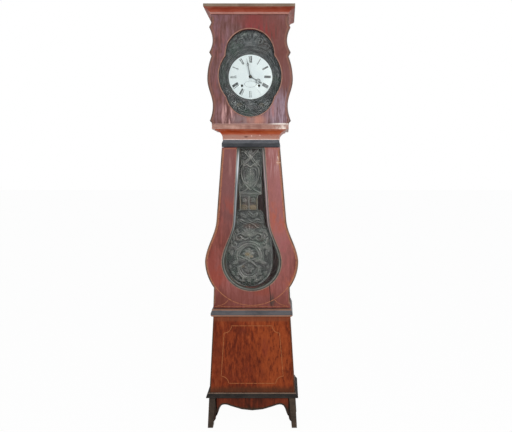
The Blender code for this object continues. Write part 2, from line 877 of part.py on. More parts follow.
slab("back_board", [mirrored(back_side)], y_case, y_back, "bare_pine")

# Doors
hood_home = (hood_axis_x, hood_axis_y, z_hood0)
y_hood_step = y_hood_b - RABBET_D
rabbeted("hood_door", hood_edge(), hood_hole(), hood_hole(RABBET_W), y_hood_f, y_hood_step, y_hood_b,
         "red_paint", hood_home)
slab("hood_glass", [hood_hole(RABBET_W - RUN)], y_hood_step + RUN, y_hood_step + RUN + GLASS_T, "glass",
     origin=hood_home)
z_hinge_high = z_hood1 - 0.070
z_hinge_low = z_hood0 + 0.014
hinge("hood_hinge_upper", (hood_axis_x, hood_axis_y, z_hinge_high), 0.0, 0.0100, hood_home)
hinge("hood_hinge_lower", (hood_axis_x, hood_axis_y, z_hinge_low), 0.0, 0.0100, hood_home)

trunk_home = (trunk_axis_x(z_door0), trunk_axis_y, z_door0)
y_trunk_step = y_trunk_b - RABBET_D
rabbeted("trunk_door", trunk_edge(), pear_inner, pear_rabbet, y_trunk_f, y_trunk_step, y_trunk_b,
         "red_paint", trunk_home)
slab("trunk_glass", [pear_glass], y_trunk_step + RUN, y_trunk_step + RUN + GLASS_T, "glass",
     origin=trunk_home)
for label, z in (("upper", z_door1 - 0.120), ("lower", z_door0 + 0.160)):
    hinge("trunk_hinge_" + label, (trunk_axis_x(z), trunk_axis_y, z), trunk_tilt, 0.0050, trunk_home)

bead = []
bead_faces = []
bead_count = len(pear_outer)
BEAD = ((0.0, 0.0), (0.0, 0.55), (0.25, 0.95), (0.5, 1.0), (0.75, 0.85), (1.0, 0.45), (1.0, 0.0))
for share, rise in BEAD:
    for (xi, zi), (xo, zo) in zip(pear_inner, pear_outer):
        bead.append((xi + (xo - xi) * share, y_trunk_f - FIT - rise * MOULD_RISE, zi + (zo - zi) * share))
for i in range(len(BEAD)):
    j = (i + 1) % len(BEAD)
    for k in range(bead_count):
        m = (k + 1) % bead_count
        bead_faces.append(
            (i * bead_count + k, i * bead_count + m, j * bead_count + m, j * bead_count + k)
        )
node("trunk_moulding", bead, bead_faces, "black_paint", trunk_home)

# Dial and its pressed surround
SURROUND_HOLE_R = 0.112
SURROUND_SWELL = 0.005
surround_outer = hood_hole(0.0060)
peg_x = CAGE_HALF - PILLAR
peg_z = (z_dial - 0.130, z_dial + 0.080)
hole_loop = disc(SURROUND_HOLE_R, 32, 0.0, z_dial)
seat_r = DIAL_R + 0.0025
swell_points = []
for i in range(20):
    a = 2 * math.pi * (i + 0.5) / 20
    for share in (0.35, 0.7):
        reach = seat_r
        while True:
            reach += 0.002
            x, z = reach * math.cos(a), z_dial + reach * math.sin(a)
            inside = any(
                math.hypot(x, z - z_dial - up) < radius for up, radius in HOOD_OPENING
            )
            if not inside:
                break
        mid = seat_r + (reach - seat_r) * share
        swell_points.append((mid * math.cos(a), z_dial + mid * math.sin(a)))
y_sur0 = y_dial + FIT
y_sur1 = y_sur0 + 0.003
raised = {(round(x, 6), round(z, 6)) for x, z in swell_points}
swell_points += disc(seat_r, 28, 0.0, z_dial)


def surround_swell(x, z):
    return SURROUND_SWELL if (round(x, 6), round(z, 6)) in raised else 0.0


surround_flat = [surround_outer, hole_loop]
peg_loops = [disc(0.003, 10, s * peg_x, z) for s in (-1, 1) for z in peg_z]
front_flat = [p for loop in surround_flat for p in loop] + swell_points
front_caps = cover(surround_flat, swell_points)
rear_loops = surround_flat + peg_loops
rear_caps = cover(rear_loops)
points = [(x, y_sur0 - surround_swell(x, z), z) for x, z in front_flat]
faces = list(front_caps)
rear_start = len(points)
points += [(x, y_sur1, z) for loop in rear_loops for x, z in loop]
faces += [tuple(rear_start + i for i in face) for face in rear_caps]
offset = 0
for loop in surround_flat:
    for i in range(len(loop)):
        j = (i + 1) % len(loop)
        faces.append((offset + i, offset + j, rear_start + offset + j, rear_start + offset + i))
    offset += len(loop)
y_peg = y_plate - 0.005 - FIT
for loop in peg_loops:
    first = rear_start + offset
    tip = len(points)
    points += [(x, y_peg, z) for x, z in loop]
    for i in range(len(loop)):
        j = (i + 1) % len(loop)
        faces.append((first + i, first + j, tip + j, tip + i))
    faces.append(tuple(range(tip, tip + len(loop))))
    offset += len(loop)
node("dial_surround", points, faces, "pressed_brass")

DIAL_HOLE_R = 0.0065
dial_loops = [disc(DIAL_R, 56, 0.0, z_dial), disc(DIAL_HOLE_R, 16, 0.0, z_dial)]
dial_loops += [disc(WIND_HOLE_R, 16, s * WIND_X, z_dial - WIND_DROP) for s in (-1, 1)]
dial_inner = [
    p
    for reach, count in ((0.033, 12), (0.090, 28))
    for p in disc(reach, count, 0.0, z_dial)
    if all(math.hypot(p[0] - s * WIND_X, p[1] - z_dial + WIND_DROP) > WIND_HOLE_R + 0.004 for s in (-1, 1))
]
slab("dial", dial_loops, y_dial - DIAL_T, y_dial, "enamel", dial_inner,
     lambda x, z: DIAL_RISE * (1 - ((x * x + (z - z_dial) ** 2) / DIAL_R ** 2)))


def turned(loop, degrees):
    """A hand drawn upright, turned clockwise as seen from the front, about the dial centre."""
    a = math.radians(degrees)
    return [
        (x * math.cos(a) + z * math.sin(a), z_dial - x * math.sin(a) + z * math.cos(a)) for x, z in loop
    ]


def hand_loop(boss, stations):
    right = [(boss * math.sin(a), -boss * math.cos(a)) for a in [math.pi * 0.86 * i / 9 for i in range(10)]]
    right[0] = (0.0, -boss)
    return mirrored(right + list(stations))


y_hour = y_dial - HOUR_RISE
y_minute = y_dial - MINUTE_RISE
dial_axis = (0.0, 0.0, z_dial)
HOUR_PIPE_R = 0.0046
CANNON_R = 0.0028
hour_loop = hand_loop(0.0085, [
    (0.0022, 0.0110), (0.0022, 0.0400), (0.0045, 0.0450), (0.0075, 0.0510), (0.0075, 0.0560),
    (0.0045, 0.0610), (0.0018, 0.0640), (0.0008, HOUR_LEN)])
slab("hour_hand",
     [turned(hour_loop, HOUR_DEG), turned(disc(HOUR_PIPE_R + RUN, 16), HOUR_DEG),
      turned(disc(0.0042, 10, 0.0, 0.0535), HOUR_DEG)],
     y_hour, y_hour + HAND_T, "blued_steel", origin=dial_axis)
minute_loop = hand_loop(0.0070, [
    (0.0019, 0.0100), (0.0017, 0.0580), (0.0040, 0.0615), (0.0056, 0.0660), (0.0040, 0.0705),
    (0.0014, 0.0740), (0.0006, MINUTE_LEN)])
slab("minute_hand",
     [turned(minute_loop, MINUTE_DEG), turned(disc(CANNON_R + RUN, 16), MINUTE_DEG),
      turned(disc(0.0028, 10, 0.0, 0.0660), MINUTE_DEG)],
     y_minute, y_minute + HAND_T, "blued_steel", origin=dial_axis)

# Movement frame
cage_z0 = z_dial - CAGE_LOW
cage_z1 = cage_z0 + PLATE_T
cage_z3 = z_dial + CAGE_HIGH
cage_y0 = y_plate - 0.005
cage_y1 = y_rear + 0.005
line_x = WIND_X + DRUM_R + LINE_R + RUN
rectangle = [(-CAGE_HALF, cage_y0), (CAGE_HALF, cage_y0), (CAGE_HALF, cage_y1), (-CAGE_HALF, cage_y1)]
posts = []
for px in (-CAGE_HALF + 0.001, CAGE_HALF - 0.001 - PILLAR):
    for py in (cage_y0 + 0.0005, cage_y1 - 0.0005 - PILLAR):
        posts.append([(px, py), (px + PILLAR, py), (px + PILLAR, py + PILLAR), (px, py + PILLAR)])
stack(
    "movement_cage", along_z(0.0, 0.0), cage_z0, [(rectangle, cage_z1)], "iron",
    holes=[disc(0.006, 12, s * line_x, y_line) for s in (-1, 1)],
    front=[[(post, z_floor1 + FIT)] for post in posts],
    rear=[[(post, cage_z3 - FIT)] for post in posts],
)
y_bell = y_plate + BELL_BACK
slot_x0 = HAMMER_X - 0.020
slot_x1 = HAMMER_X + 0.018
slot = [(slot_x0, y_bell - HAMMER_SLOT), (slot_x1, y_bell - HAMMER_SLOT),
        (slot_x1, y_bell + HAMMER_SLOT), (slot_x0, y_bell + HAMMER_SLOT)]
cage_z4 = cage_z3 + PLATE_T
bell_z = cage_z4 + BELL_UP
bell_top = bell_z + BELL_H
stack(
    "cage_top_plate", along_z(0.0, 0.0), cage_z3, [(rectangle, cage_z4)], "iron", holes=[slot],
    rear=[[(disc(BELL_POST_R, 12, 0.0, y_bell), bell_top - BELL_T - FIT),
           (disc(BELL_BOLT_R, 12, 0.0, y_bell), bell_top + BELL_BOLT_H)]],
)

# Wheel centres, measured from the dial centre
great = (WIND_X, -WIND_DROP)
strike = (-WIND_X, -WIND_DROP)
escape = (0.0, ESCAPE_UP)
anchor = (0.0, ANCHOR_UP)
GREAT_MODULE = 2 * math.hypot(WIND_X, WIND_DROP) / (GREAT_TEETH + LEAVES)
reach_a = (CENTRE_TEETH + LEAVES) * CENTRE_MODULE / 2
reach_b = (THIRD_TEETH + LEAVES) * THIRD_MODULE / 2
third_up = (reach_a ** 2 - reach_b ** 2 + ESCAPE_UP ** 2) / (2 * ESCAPE_UP)
third = (math.sqrt(reach_a ** 2 - third_up ** 2), third_up)
PIN_LEAN = math.radians(108)
pin_reach = (GREAT_TEETH + LEAVES) * GREAT_MODULE / 2
pinwheel = (strike[0] + pin_reach * math.cos(PIN_LEAN), strike[1] + pin_reach * math.sin(PIN_LEAN))
hammer = (HAMMER_X, HAMMER_UP)


def heading(a, b):
    return math.atan2(b[1] - a[1], b[0] - a[0])


def facing(a, b, teeth):
    """The turn that puts a gap of the driven wheel b against a tooth of a."""
    return heading(b, a) + math.pi / teeth


def window(x0, x1, z0, z1):
    return [(x0, z0), (x1, z0), (x1, z1), (x0, z1)]


def plate_holes(*pivots):
    small = [disc(PIVOT_R + RUN, 12, *at) for at in pivots]
    big = [disc(SQUARE_R + RUN, 16, *at) for at in (great, strike)]
    low, high = WINDOW_Z
    near, far = WINDOW_X
    return small + big + [window(-far, -near, low, high), window(near, far, low, high)]


plate_edge = window(-PLATE_HALF, PLATE_HALF, cage_z1 + FIT - z_dial, cage_z3 - FIT - z_dial)
WINDOW_X = (0.009, 0.037)
WINDOW_Z = (-0.120, -0.030)
STUD_R = 0.0018
HANG_R = 0.0030
CRUTCH_X = -0.021
CRUTCH_UP = -0.079
CRUTCH_PIN_R = 0.0015
centre = (0.0, 0.0)
stack(
    "front_plate", along_y(0.0, z_dial), y_plate, [(plate_edge, y_cage)], "brass",
    holes=plate_holes(centre, third, escape, pinwheel, hammer),
    front=[[(disc(HANG_R, 16, *anchor), y_pend - 0.004)],
           [(disc(STUD_R, 12, 0.0, MOTION_GAP), y_pend - 0.0240)]],
)
y_back_plate = y_rear - PLATE_T
stack("back_plate", along_y(0.0, z_dial), y_back_plate, [(plate_edge, y_rear)], "brass",
      holes=plate_holes(centre, third, escape, pinwheel, hammer, anchor))
y_in0 = y_cage + FIT
y_in1 = y_back_plate - FIT
y_pivot0 = y_plate + 0.0005
y_pivot1 = y_rear - 0.0005


def arbor(name, at, wheels, paint, start=None):
    """A pivoted arbor with gears along it. wheels rows are (loop, y0, y1)."""
    sections = [(disc(PIVOT_R, 12), y_in0)]
    for loop, y0, y1 in wheels:
        sections.append((disc(ARBOR_R, 12), y0))
        sections.append((loop, y1))
    sections.append((disc(ARBOR_R, 12), y_in1))
    sections.append((disc(PIVOT_R, 12), y_pivot1))
    return stack(name, along_y(at[0], z_dial + at[1]), y_pivot0 if start is None else start, sections, paint,
                 origin=(at[0], 0.0, z_dial + at[1]))


# Going train
y_go = y_cage + 0.028
stack("going_great_wheel", along_y(great[0], z_dial + great[1]), y_go,
      [(wheel(GREAT_TEETH, GREAT_MODULE, heading(great, (0, 0))), y_go + 0.006)], "brass",
      holes=[disc(DRUM_ARBOR_R + RUN, 16)], origin=(great[0], 0.0, z_dial + great[1]))
y_cw = y_cage + 0.048
arbor("centre_wheel", (0.0, 0.0),
      [(leaves(LEAVES, GREAT_MODULE, facing(great, (0, 0), LEAVES)), y_go - 0.004, y_go + 0.010),
       (wheel(CENTRE_TEETH, CENTRE_MODULE, heading((0, 0), third)), y_cw, y_cw + 0.003)],
      "brass", start=y_minute - 0.0010)
y_tw = y_cage + 0.068
arbor("third_wheel", third,
      [(leaves(LEAVES, CENTRE_MODULE, facing((0, 0), third, LEAVES)), y_cw - 0.004, y_cw + 0.007),
       (wheel(THIRD_TEETH, THIRD_MODULE, heading(third, escape)), y_tw, y_tw + 0.003)], "brass")
y_ew = y_cage + 0.013
arbor("escape_wheel", escape,
      [(ratchet(ESCAPE_TEETH, ESCAPE_R, ESCAPE_R - 0.0035), y_ew, y_ew + 0.004),
       (leaves(LEAVES, THIRD_MODULE, facing(third, escape, LEAVES)), y_tw - 0.004, y_tw + 0.007)], "brass")
crutch_path = [(0.003, 0.0034), (0.0, 0.0), (CRUTCH_X, -0.023), (CRUTCH_X, CRUTCH_UP - ANCHOR_UP - 0.004)]
pallet_path = [(-0.0205, -0.0140), (-0.010, -0.003), (0.0, 0.0), (0.010, -0.003), (0.0205, -0.0140)]
stack(
    "anchor", swung, y_cage + 0.001,
    [(stroke(crutch_path, 0.0035), y_cage + 0.0035), (disc(ARBOR_R, 12), y_ew - 0.001),
     (stroke(pallet_path, 0.0035), y_ew + 0.005), (disc(ARBOR_R, 12), y_in1), (disc(PIVOT_R, 12), y_pivot1)],
    "iron",
    front=[[(disc(PIVOT_R, 12), y_cage + FIT)],
           [(disc(CRUTCH_PIN_R, 10, CRUTCH_X, CRUTCH_UP - ANCHOR_UP), y_pend - 0.0035)]],
    origin=(0.0, 0.0, z_hang),
)


def drum(name, at):
    y0 = y_cage + 0.0425
    y1 = y0 + 0.051
    stack(
        name, along_y(at[0], z_dial + at[1]), y_dial - 0.002,
        [(disc(SQUARE_R, 4, turn=math.pi / 4), y_plate - 0.010), (disc(SQUARE_R, 16), y_in0),
         (disc(DRUM_ARBOR_R, 16), y0), (disc(DRUM_FLANGE_R, 20), y0 + 0.002), (disc(DRUM_R, 20), y1 - 0.002),
         (disc(DRUM_FLANGE_R, 20), y1), (disc(DRUM_ARBOR_R, 16), y_in1), (disc(SQUARE_R, 16), y_pivot1)],
        "brass", origin=(at[0], 0.0, z_dial + at[1]),
    )


drum("going_drum", great)
drum("strike_drum", strike)
y_st = y_cage + 0.0960
stack("strike_great_wheel", along_y(strike[0], z_dial + strike[1]), y_st,
      [(wheel(GREAT_TEETH, GREAT_MODULE, heading(strike, pinwheel)), y_st + 0.006)], "brass",
      holes=[disc(DRUM_ARBOR_R + RUN, 16)], origin=(strike[0], 0.0, z_dial + strike[1]))
y_pw = y_cage + 0.0640
arbor("strike_pin_wheel", pinwheel,
      [(ratchet(8, 0.0250, 0.0200), y_pw, y_pw + 0.003),
       (leaves(LEAVES, GREAT_MODULE, facing(strike, pinwheel, LEAVES)), y_st - 0.0015, y_st + 0.0075)],
      "brass")

# Hammer and bell
head_x = -BELL_R - BELL_GAP - HAMMER_X
bell_mouth = bell_z - HAMMER_UP - z_dial
hammer_loop = [
    (0.005, -0.034), (0.006, 0.0), (0.0055, 0.020), (head_x - 0.0095, bell_mouth - 0.004),
    (head_x, bell_mouth - 0.004), (head_x, bell_mouth + 0.012), (head_x - 0.014, bell_mouth + 0.012),
    (head_x - 0.014, bell_mouth - 0.004), (-0.0005, 0.020), (-0.006, 0.0), (-0.001, -0.034),
]
arbor("hammer", hammer, [(hammer_loop, y_bell - 0.002, y_bell + 0.002)], "iron")
lathe(
    "bell",
    [(BELL_BOLT_R + FIT, bell_top), (0.40 * BELL_R, bell_top - 0.0010), (0.72 * BELL_R, bell_top - 0.0080),
     (0.90 * BELL_R, bell_top - 0.0200), (BELL_R, bell_z), (BELL_R - BELL_T, bell_z),
     (0.85 * BELL_R, bell_top - 0.0210), (0.68 * BELL_R, bell_top - 0.0110),
     (0.38 * BELL_R, bell_top - 0.0040), (BELL_BOLT_R + FIT, bell_top - BELL_T)],
    0.0, y_bell, "bell_metal",
)

# Motion work behind the dial
y_mw = y_dial + 0.0150
MOTION_MODULE = 2 * MOTION_GAP / (CANNON_TEETH + MINUTE_TEETH)
REVERSE_MODULE = 2 * MOTION_GAP / (REVERSE_TEETH + HOUR_TEETH)
stack("cannon_pinion", along_y(0.0, z_dial), y_minute - 0.0005,
      [(disc(CANNON_R, 16), y_mw + 0.0050),
       (leaves(CANNON_TEETH, MOTION_MODULE, math.pi / 2), y_mw + 0.0120),
       (disc(CANNON_R, 16), y_plate - 0.0010)],
      "brass", holes=[disc(PIVOT_R + RUN, 12)], origin=dial_axis)
stack("minute_wheel", along_y(0.0, z_dial + MOTION_GAP), y_mw,
      [(leaves(REVERSE_TEETH, REVERSE_MODULE, -math.pi / 2), y_mw + 0.0060),
       (wheel(MINUTE_TEETH, MOTION_MODULE, -math.pi / 2 + math.pi / MINUTE_TEETH),
        y_mw + 0.0115)],
      "brass", holes=[disc(STUD_R + RUN, 12)], origin=(0.0, 0.0, z_dial + MOTION_GAP))
stack("hour_wheel", along_y(0.0, z_dial), y_hour - 0.0005,
      [(disc(HOUR_PIPE_R, 16), y_mw + 0.0010),
       (wheel(HOUR_TEETH, REVERSE_MODULE, math.pi / 2 + math.pi / HOUR_TEETH), y_mw + 0.0040)],
      "brass", holes=[disc(CANNON_R + RUN, 16)], origin=dial_axis)

# Pendulum
pend_home = (0.0, 0.0, z_hang)
sheet_top = z_door0 + PENDULUM_TOP_UP
bob_at = swung(0.0, z_bob - z_hang, 0.0)
sheet_right = [(0.0, z_bob - PENDULUM_R)]
for i in range(1, 13):
    a = -math.pi / 2 + math.pi / 2 * i / 12
    sheet_right.append((PENDULUM_R * math.cos(a), z_bob + PENDULUM_R * math.sin(a)))
sheet_right += [(PENDULUM_R - inside, z_bob + up) for inside, up in SHEET_SHOULDER]
sheet_right += [(half, z_bob + up) for half, up in SHEET_NECK]
sheet_right.append((SHEET_NECK[-1][0], sheet_top))
sheet_inner = [
    p for reach, count in ((0.030, 10), (0.062, 18), (0.098, 26)) for p in disc(reach, count, 0.0, z_bob)
]
sheet_inner += [(0.0, z_bob + 0.18 + 0.045 * i) for i in range(10)]


def sheet_swell(x, z):
    if z > z_bob + 0.16:
        return SHEET_RIB if abs(x) < 1e-6 and z < sheet_top - 0.01 else 0.0
    return max(0.0, SHEET_SWELL * (1 - (x * x + (z - z_bob) ** 2) / PENDULUM_R ** 2))


def plumb(x, z, y):
    """Places points of the pendulum sheet, which hangs straight down in front of the bob."""
    return bob_at[0] + x, y, bob_at[2] + z - z_bob


between("pendulum_sheet", [mirrored(sheet_right)],
        lambda x, z: plumb(x, z, y_pend - SHEET_T - sheet_swell(x, z)),
        lambda x, z: plumb(x, z, y_pend - sheet_swell(x, z)),
        "pressed_brass", sheet_inner, pend_home)
RING_IN = 0.034
RING_OUT = 0.041
plate_r = BOB_R + BOB_PLATE
rod_right = [(0.0, z_bob - plate_r)]
for i in range(1, 11):
    a = -math.pi / 2 + math.pi * 0.96 * i / 10
    rod_right.append((plate_r * math.cos(a), z_bob + plate_r * math.sin(a)))
rod_right += [(0.010, z_dial - 0.120), (0.030, z_dial - 0.105), (0.030, z_dial - 0.060)]
for i in range(9):
    a = math.radians(-66) + math.radians(146) * i / 8
    rod_right.append((RING_OUT * math.cos(a), z_dial + RING_OUT * math.sin(a)))
rod_right += [(0.0070, z_hang - 0.012), (0.0090, z_hang), (0.0065, z_hang + 0.0065), (0.0, z_hang + 0.0090)]
y_rod = y_pend + FIT
stack(
    "pendulum_rod", lambda a, b, t: swung(a, b - z_hang, t), y_rod, [(mirrored(rod_right), y_rod + ROD_T)],
    "iron",
    holes=[disc(RING_IN, 24, 0.0, z_dial), disc(HANG_R + RUN, 16, 0.0, z_hang),
           disc(CRUTCH_PIN_R + RUN, 10, CRUTCH_X, z_dial + CRUTCH_UP)],
    rear=[[(disc(BOB_R, 24, 0.0, z_bob), y_rod + ROD_T + BOB_T * 0.6),
           (disc(BOB_R * 0.8, 24, 0.0, z_bob), y_rod + ROD_T + BOB_T)]],
    origin=pend_home,
)

# Weights and their lines
for side, sign in (("going", 1), ("strike", -1)):
    top = WEIGHT_LOW + WEIGHT_H
    lathe(
        side + "_weight",
        [(0.0, WEIGHT_LOW), (WEIGHT_R - 0.006, WEIGHT_LOW), (WEIGHT_R, WEIGHT_LOW + 0.006),
         (WEIGHT_R, top - 0.004), (WEIGHT_R - 0.004, top)]
        + [(radius, top + up) for radius, up in WEIGHT_KNOB],
        sign * line_x, y_line, "iron", 18,
    )
    line_low = top + WEIGHT_KNOB[-1][1] + FIT
    lathe(
        side + "_line",
        [(0.0, line_low), (LINE_R, line_low), (LINE_R, z_dial - WIND_DROP), (0.0, z_dial - WIND_DROP)],
        sign * line_x, y_line, "gut_line", 8,
    )
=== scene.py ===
"""Looks of a painted violin-shaped longcase clock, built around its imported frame."""

import json
import math
from functools import cached_property

import bmesh
import bpy
import numpy as np
from mathutils import Matrix, Vector, noise
from mathutils.geometry import delaunay_2d_cdt


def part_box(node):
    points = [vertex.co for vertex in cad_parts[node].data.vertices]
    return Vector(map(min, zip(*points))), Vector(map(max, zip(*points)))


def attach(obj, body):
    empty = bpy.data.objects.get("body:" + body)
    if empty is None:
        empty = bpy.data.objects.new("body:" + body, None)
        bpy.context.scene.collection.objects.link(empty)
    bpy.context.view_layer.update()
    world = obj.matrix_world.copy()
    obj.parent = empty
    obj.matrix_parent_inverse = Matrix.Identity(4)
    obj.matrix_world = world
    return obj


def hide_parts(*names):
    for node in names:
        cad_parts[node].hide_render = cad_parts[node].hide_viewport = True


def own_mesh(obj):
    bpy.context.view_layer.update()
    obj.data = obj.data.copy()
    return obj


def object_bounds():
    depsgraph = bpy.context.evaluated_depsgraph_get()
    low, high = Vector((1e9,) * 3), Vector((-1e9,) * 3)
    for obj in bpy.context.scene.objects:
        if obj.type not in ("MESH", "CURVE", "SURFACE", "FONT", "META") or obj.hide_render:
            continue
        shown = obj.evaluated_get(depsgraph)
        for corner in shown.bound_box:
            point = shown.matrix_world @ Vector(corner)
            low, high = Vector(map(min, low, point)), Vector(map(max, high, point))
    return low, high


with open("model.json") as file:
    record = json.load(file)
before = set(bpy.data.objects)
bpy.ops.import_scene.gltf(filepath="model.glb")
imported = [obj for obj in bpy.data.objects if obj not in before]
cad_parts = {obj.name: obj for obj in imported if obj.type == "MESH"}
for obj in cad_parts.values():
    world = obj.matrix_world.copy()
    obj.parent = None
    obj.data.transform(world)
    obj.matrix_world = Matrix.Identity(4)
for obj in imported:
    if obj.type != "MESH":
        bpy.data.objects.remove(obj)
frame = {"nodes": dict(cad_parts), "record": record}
cad_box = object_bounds()
nodes = frame["nodes"]
joints = {joint["name"]: joint for joint in frame["record"]["behaviour"]["joints"]}

# Camera, to the right of the clock and tilted down
EYE = (0.185, -2.955, 1.5)
TILT = 84.51
scene = bpy.context.scene
scene.view_settings.view_transform = "Standard"
lens = bpy.data.cameras.new("view")
lens.lens = 36.34
lens.sensor_width = 36.0
lens.sensor_fit = "HORIZONTAL"
lens.shift_x = -0.0556
eye = bpy.data.objects.new("view", lens)
eye.matrix_world = Matrix.Translation(EYE) @ Matrix.Rotation(math.radians(TILT), 4, "X")
scene.collection.objects.link(eye)
scene.camera = eye


# Material helpers
def linear(colour):
    """A colour for a socket. Three numbers are a colour as it is seen on screen, up to 255."""
    if isinstance(colour, tuple) and len(colour) == 3:
        shares = [v / 255 for v in colour]
        return *(v / 12.92 if v <= 0.04045 else ((v + 0.055) / 1.055) ** 2.4 for v in shares), 1.0
    return colour


class Nodes:
    """Short calls for the nodes of a material or of the world."""

    def __init__(self, tree):
        self.tree = tree

    def put(self, socket, value):
        if isinstance(value, bpy.types.NodeSocket):
            self.tree.links.new(value, socket)
        else:
            socket.default_value = value

    def node(self, kind, inputs=(), **settings):
        made = self.tree.nodes.new("ShaderNode" + kind)
        for key, value in settings.items():
            setattr(made, key, value)
        for key, value in dict(inputs).items():
            self.put(made.inputs[key], value)
        return made

    def calc(self, kind, a, b):
        return self.node("Math", {0: a, 1: b}, operation=kind).outputs[0]

    def rays(self, *kinds):
        """1 for light rays of any of these kinds."""
        is_kind = self.node("LightPath").outputs
        found = is_kind[f"Is {kinds[0]} Ray"]
        for kind in kinds[1:]:
            found = self.calc("MAXIMUM", found, is_kind[f"Is {kind} Ray"])
        return found

    def surface(self, share, first, second):
        """Sends a mix of two shaders to the output."""
        both = self.node("MixShader", {0: share, 1: first.outputs[0], 2: second.outputs[0]})
        output = next(node for node in self.tree.nodes if node.name.endswith("Output"))
        self.put(output.inputs["Surface"], both.outputs[0])


class Look(Nodes):
    """A Principled material, with short calls for what it is mixed from."""

    def __init__(self, name, **plain):
        self.made = bpy.data.materials.new(name)
        self.made.use_nodes = True
        super().__init__(self.made.node_tree)
        self.shader = self.tree.nodes["Principled BSDF"]
        for key, value in plain.items():
            self.put(self.shader.inputs[key.replace("_", " ").title().replace("Ior", "IOR")], value)

    @cached_property
    def place(self):
        return self.node("TexCoord").outputs["Object"]

    def noise(self, scale, stretch=(1, 1, 1), detail=3.0, rough=0.55, bend=0.0, shift=(0, 0, 0)):
        at = self.node("Mapping", {"Vector": self.place, "Scale": stretch, "Location": shift})
        settings = {"Scale": scale, "Detail": detail, "Roughness": rough, "Distortion": bend}
        return self.node("TexNoise", {"Vector": at.outputs[0], **settings}).outputs["Fac"]

    def band(self, value, low, high, to_low=0.0, to_high=1.0):
        ends = {"From Min": low, "From Max": high, "To Min": to_low, "To Max": to_high}
        return self.node("MapRange", {"Value": value, **ends}, interpolation_type="SMOOTHSTEP").outputs[0]

    def plus(self, a, b):
        return self.calc("ADD", a, b)

    def times(self, a, b):
        return self.calc("MULTIPLY", a, b)

    def blend(self, a, share, b):
        return self.plus(self.times(a, share), self.times(b, 1.0 - share))

    def mix(self, share, a, b, kind="MIX"):
        made = self.node("Mix", data_type="RGBA", blend_type=kind, clamp_factor=True)
        for number, value in ((0, share), (6, linear(a)), (7, linear(b))):
            self.put(made.inputs[number], value)
        return made.outputs[2]

    def ramp(self, value, stops):
        made = self.node("ValToRGB", {"Fac": value})
        steps = made.color_ramp.elements
        while len(steps) < len(stops):
            steps.new(0.5)
        for step, (where, colour) in zip(steps, stops):
            step.position = where
            step.color = linear(colour)
        return made.outputs[0]

    def stored(self, name):
        return self.node("Attribute", attribute_name=name).outputs["Fac"]

    def axes(self, vector=None):
        return self.node("SeparateXYZ", {"Vector": self.place if vector is None else vector}).outputs

    def spot(self, x, z, wide, high, soft=0.6):
        """1 inside an ellipse on the front, fading to 0 outside it."""
        off = self.node("VectorMath", {0: self.place, 1: (x, 0.0, z)}, operation="SUBTRACT")
        flat = self.node("VectorMath", {0: off.outputs[0], 1: (1 / wide, 0.0, 1 / high)}, operation="MULTIPLY")
        far = self.node("VectorMath", {0: flat.outputs[0]}, operation="LENGTH")
        return self.band(far.outputs["Value"], 1.0 + soft, 1.0 - soft)

    def dress(self, colour, rough=None, bump=None, height=0.0):
        self.put(self.shader.inputs["Base Color"], linear(colour))
        if rough is not None:
            self.put(self.shader.inputs["Roughness"], rough)
        if bump is not None:
            made = self.node("Bump", {"Height": bump, "Distance": height, "Strength": 1.0})
            self.put(self.shader.inputs["Normal"], made.outputs[0])
        return self.made


STREAK = (1.0, 1.0, 0.09)


def paint(name, tones, spots=(), rim=None, streak=38.0, grain=0.5, seed=0.0, sheen=0.22, way=STREAK, inside=None,
          back=False, legs=None):
    """Worn oil paint, dragged on with a wide brush. Spots are (place, colour, share, kind of break-up).

    A place is (x, z, half width, half height). rim gives the tones of a board's strip and of its edges; the edge tone
    also darkens the walls of a board's holes as painted shade. inside gives two tones for inward faces: bare wood at
    the back of a door, and on the inner faces of the sides pale tones that are painted light, brightening the shaded
    inside of the case. legs a height and two tones below it.
    """
    look = Look(name, specular_ior_level=sheen)
    shift = (seed, seed * 0.7, seed * 0.3)
    strokes = look.blend(look.noise(streak, way, 4.0, 0.6, 0.4, shift), 0.62,
                         look.noise(streak * 2.7, way, 3.0, 0.6, 0.2, shift))
    cloud = look.noise(7.0, (1.0, 1.0, 0.55), 4.0, 0.6, 0.6, shift)
    broad = look.blend(cloud, 0.6, look.noise(33.0, (1.0, 1.0, 0.5), 4.0, 0.65, 0.8, shift))
    fine = look.noise(240.0, (1.0, 1.0, 0.25), 2.0)
    colour = look.ramp(look.band(look.blend(strokes, grain, broad), 0.39, 0.61), tones)
    breaks = {
        "streaks": look.band(strokes, 0.47, 0.58), "brushed": look.band(strokes, 0.36, 0.52),
        "patches": look.band(broad, 0.44, 0.57), "plain": 1.0,
    }
    for place, stain, share, broken in spots:
        mask = look.times(look.spot(*place), breaks[broken])
        colour = look.mix(look.times(mask, share), colour, stain)
    shade = look.ramp(fine, [(0.3, (0.72, 0.72, 0.72, 1)), (0.7, (1, 1, 1, 1))])
    colour = look.mix(0.5, colour, shade, "MULTIPLY")
    colour = look.mix(1.0, colour, (1.16, 1.16, 1.16, 1.0), "MULTIPLY")
    if rim:
        edge = look.plus(look.stored("rim"), look.band(cloud, 0.3, 0.7, -0.12, 0.12))
        colour = look.mix(look.band(edge, 0.38, 0.62, 0.0, 0.75), colour, rim[0])
        colour = look.mix(look.band(edge, 0.88, 1.0, 0.0, 0.85), colour, rim[1])
    grown = look.band(strokes, 0.4, 0.6)
    if inside:
        turned = look.axes(look.node("TexCoord").outputs["Normal"])
        if back:
            hidden = look.band(turned[1], 0.5, 0.8)
        else:
            hidden = look.band(look.times(look.axes()[0], turned[0]), -0.03, -0.08)
        colour = look.mix(hidden, colour, look.mix(grown, *inside))
    if legs:
        top, *dark = legs
        colour = look.mix(look.band(look.axes()[2], top + 0.003, top - 0.003), colour, look.mix(grown, *dark))
    bump = look.plus(strokes, look.times(fine, 0.35))
    return look.dress(colour, look.band(strokes, 0.3, 0.7, 0.6, 0.36), bump, 0.0006)


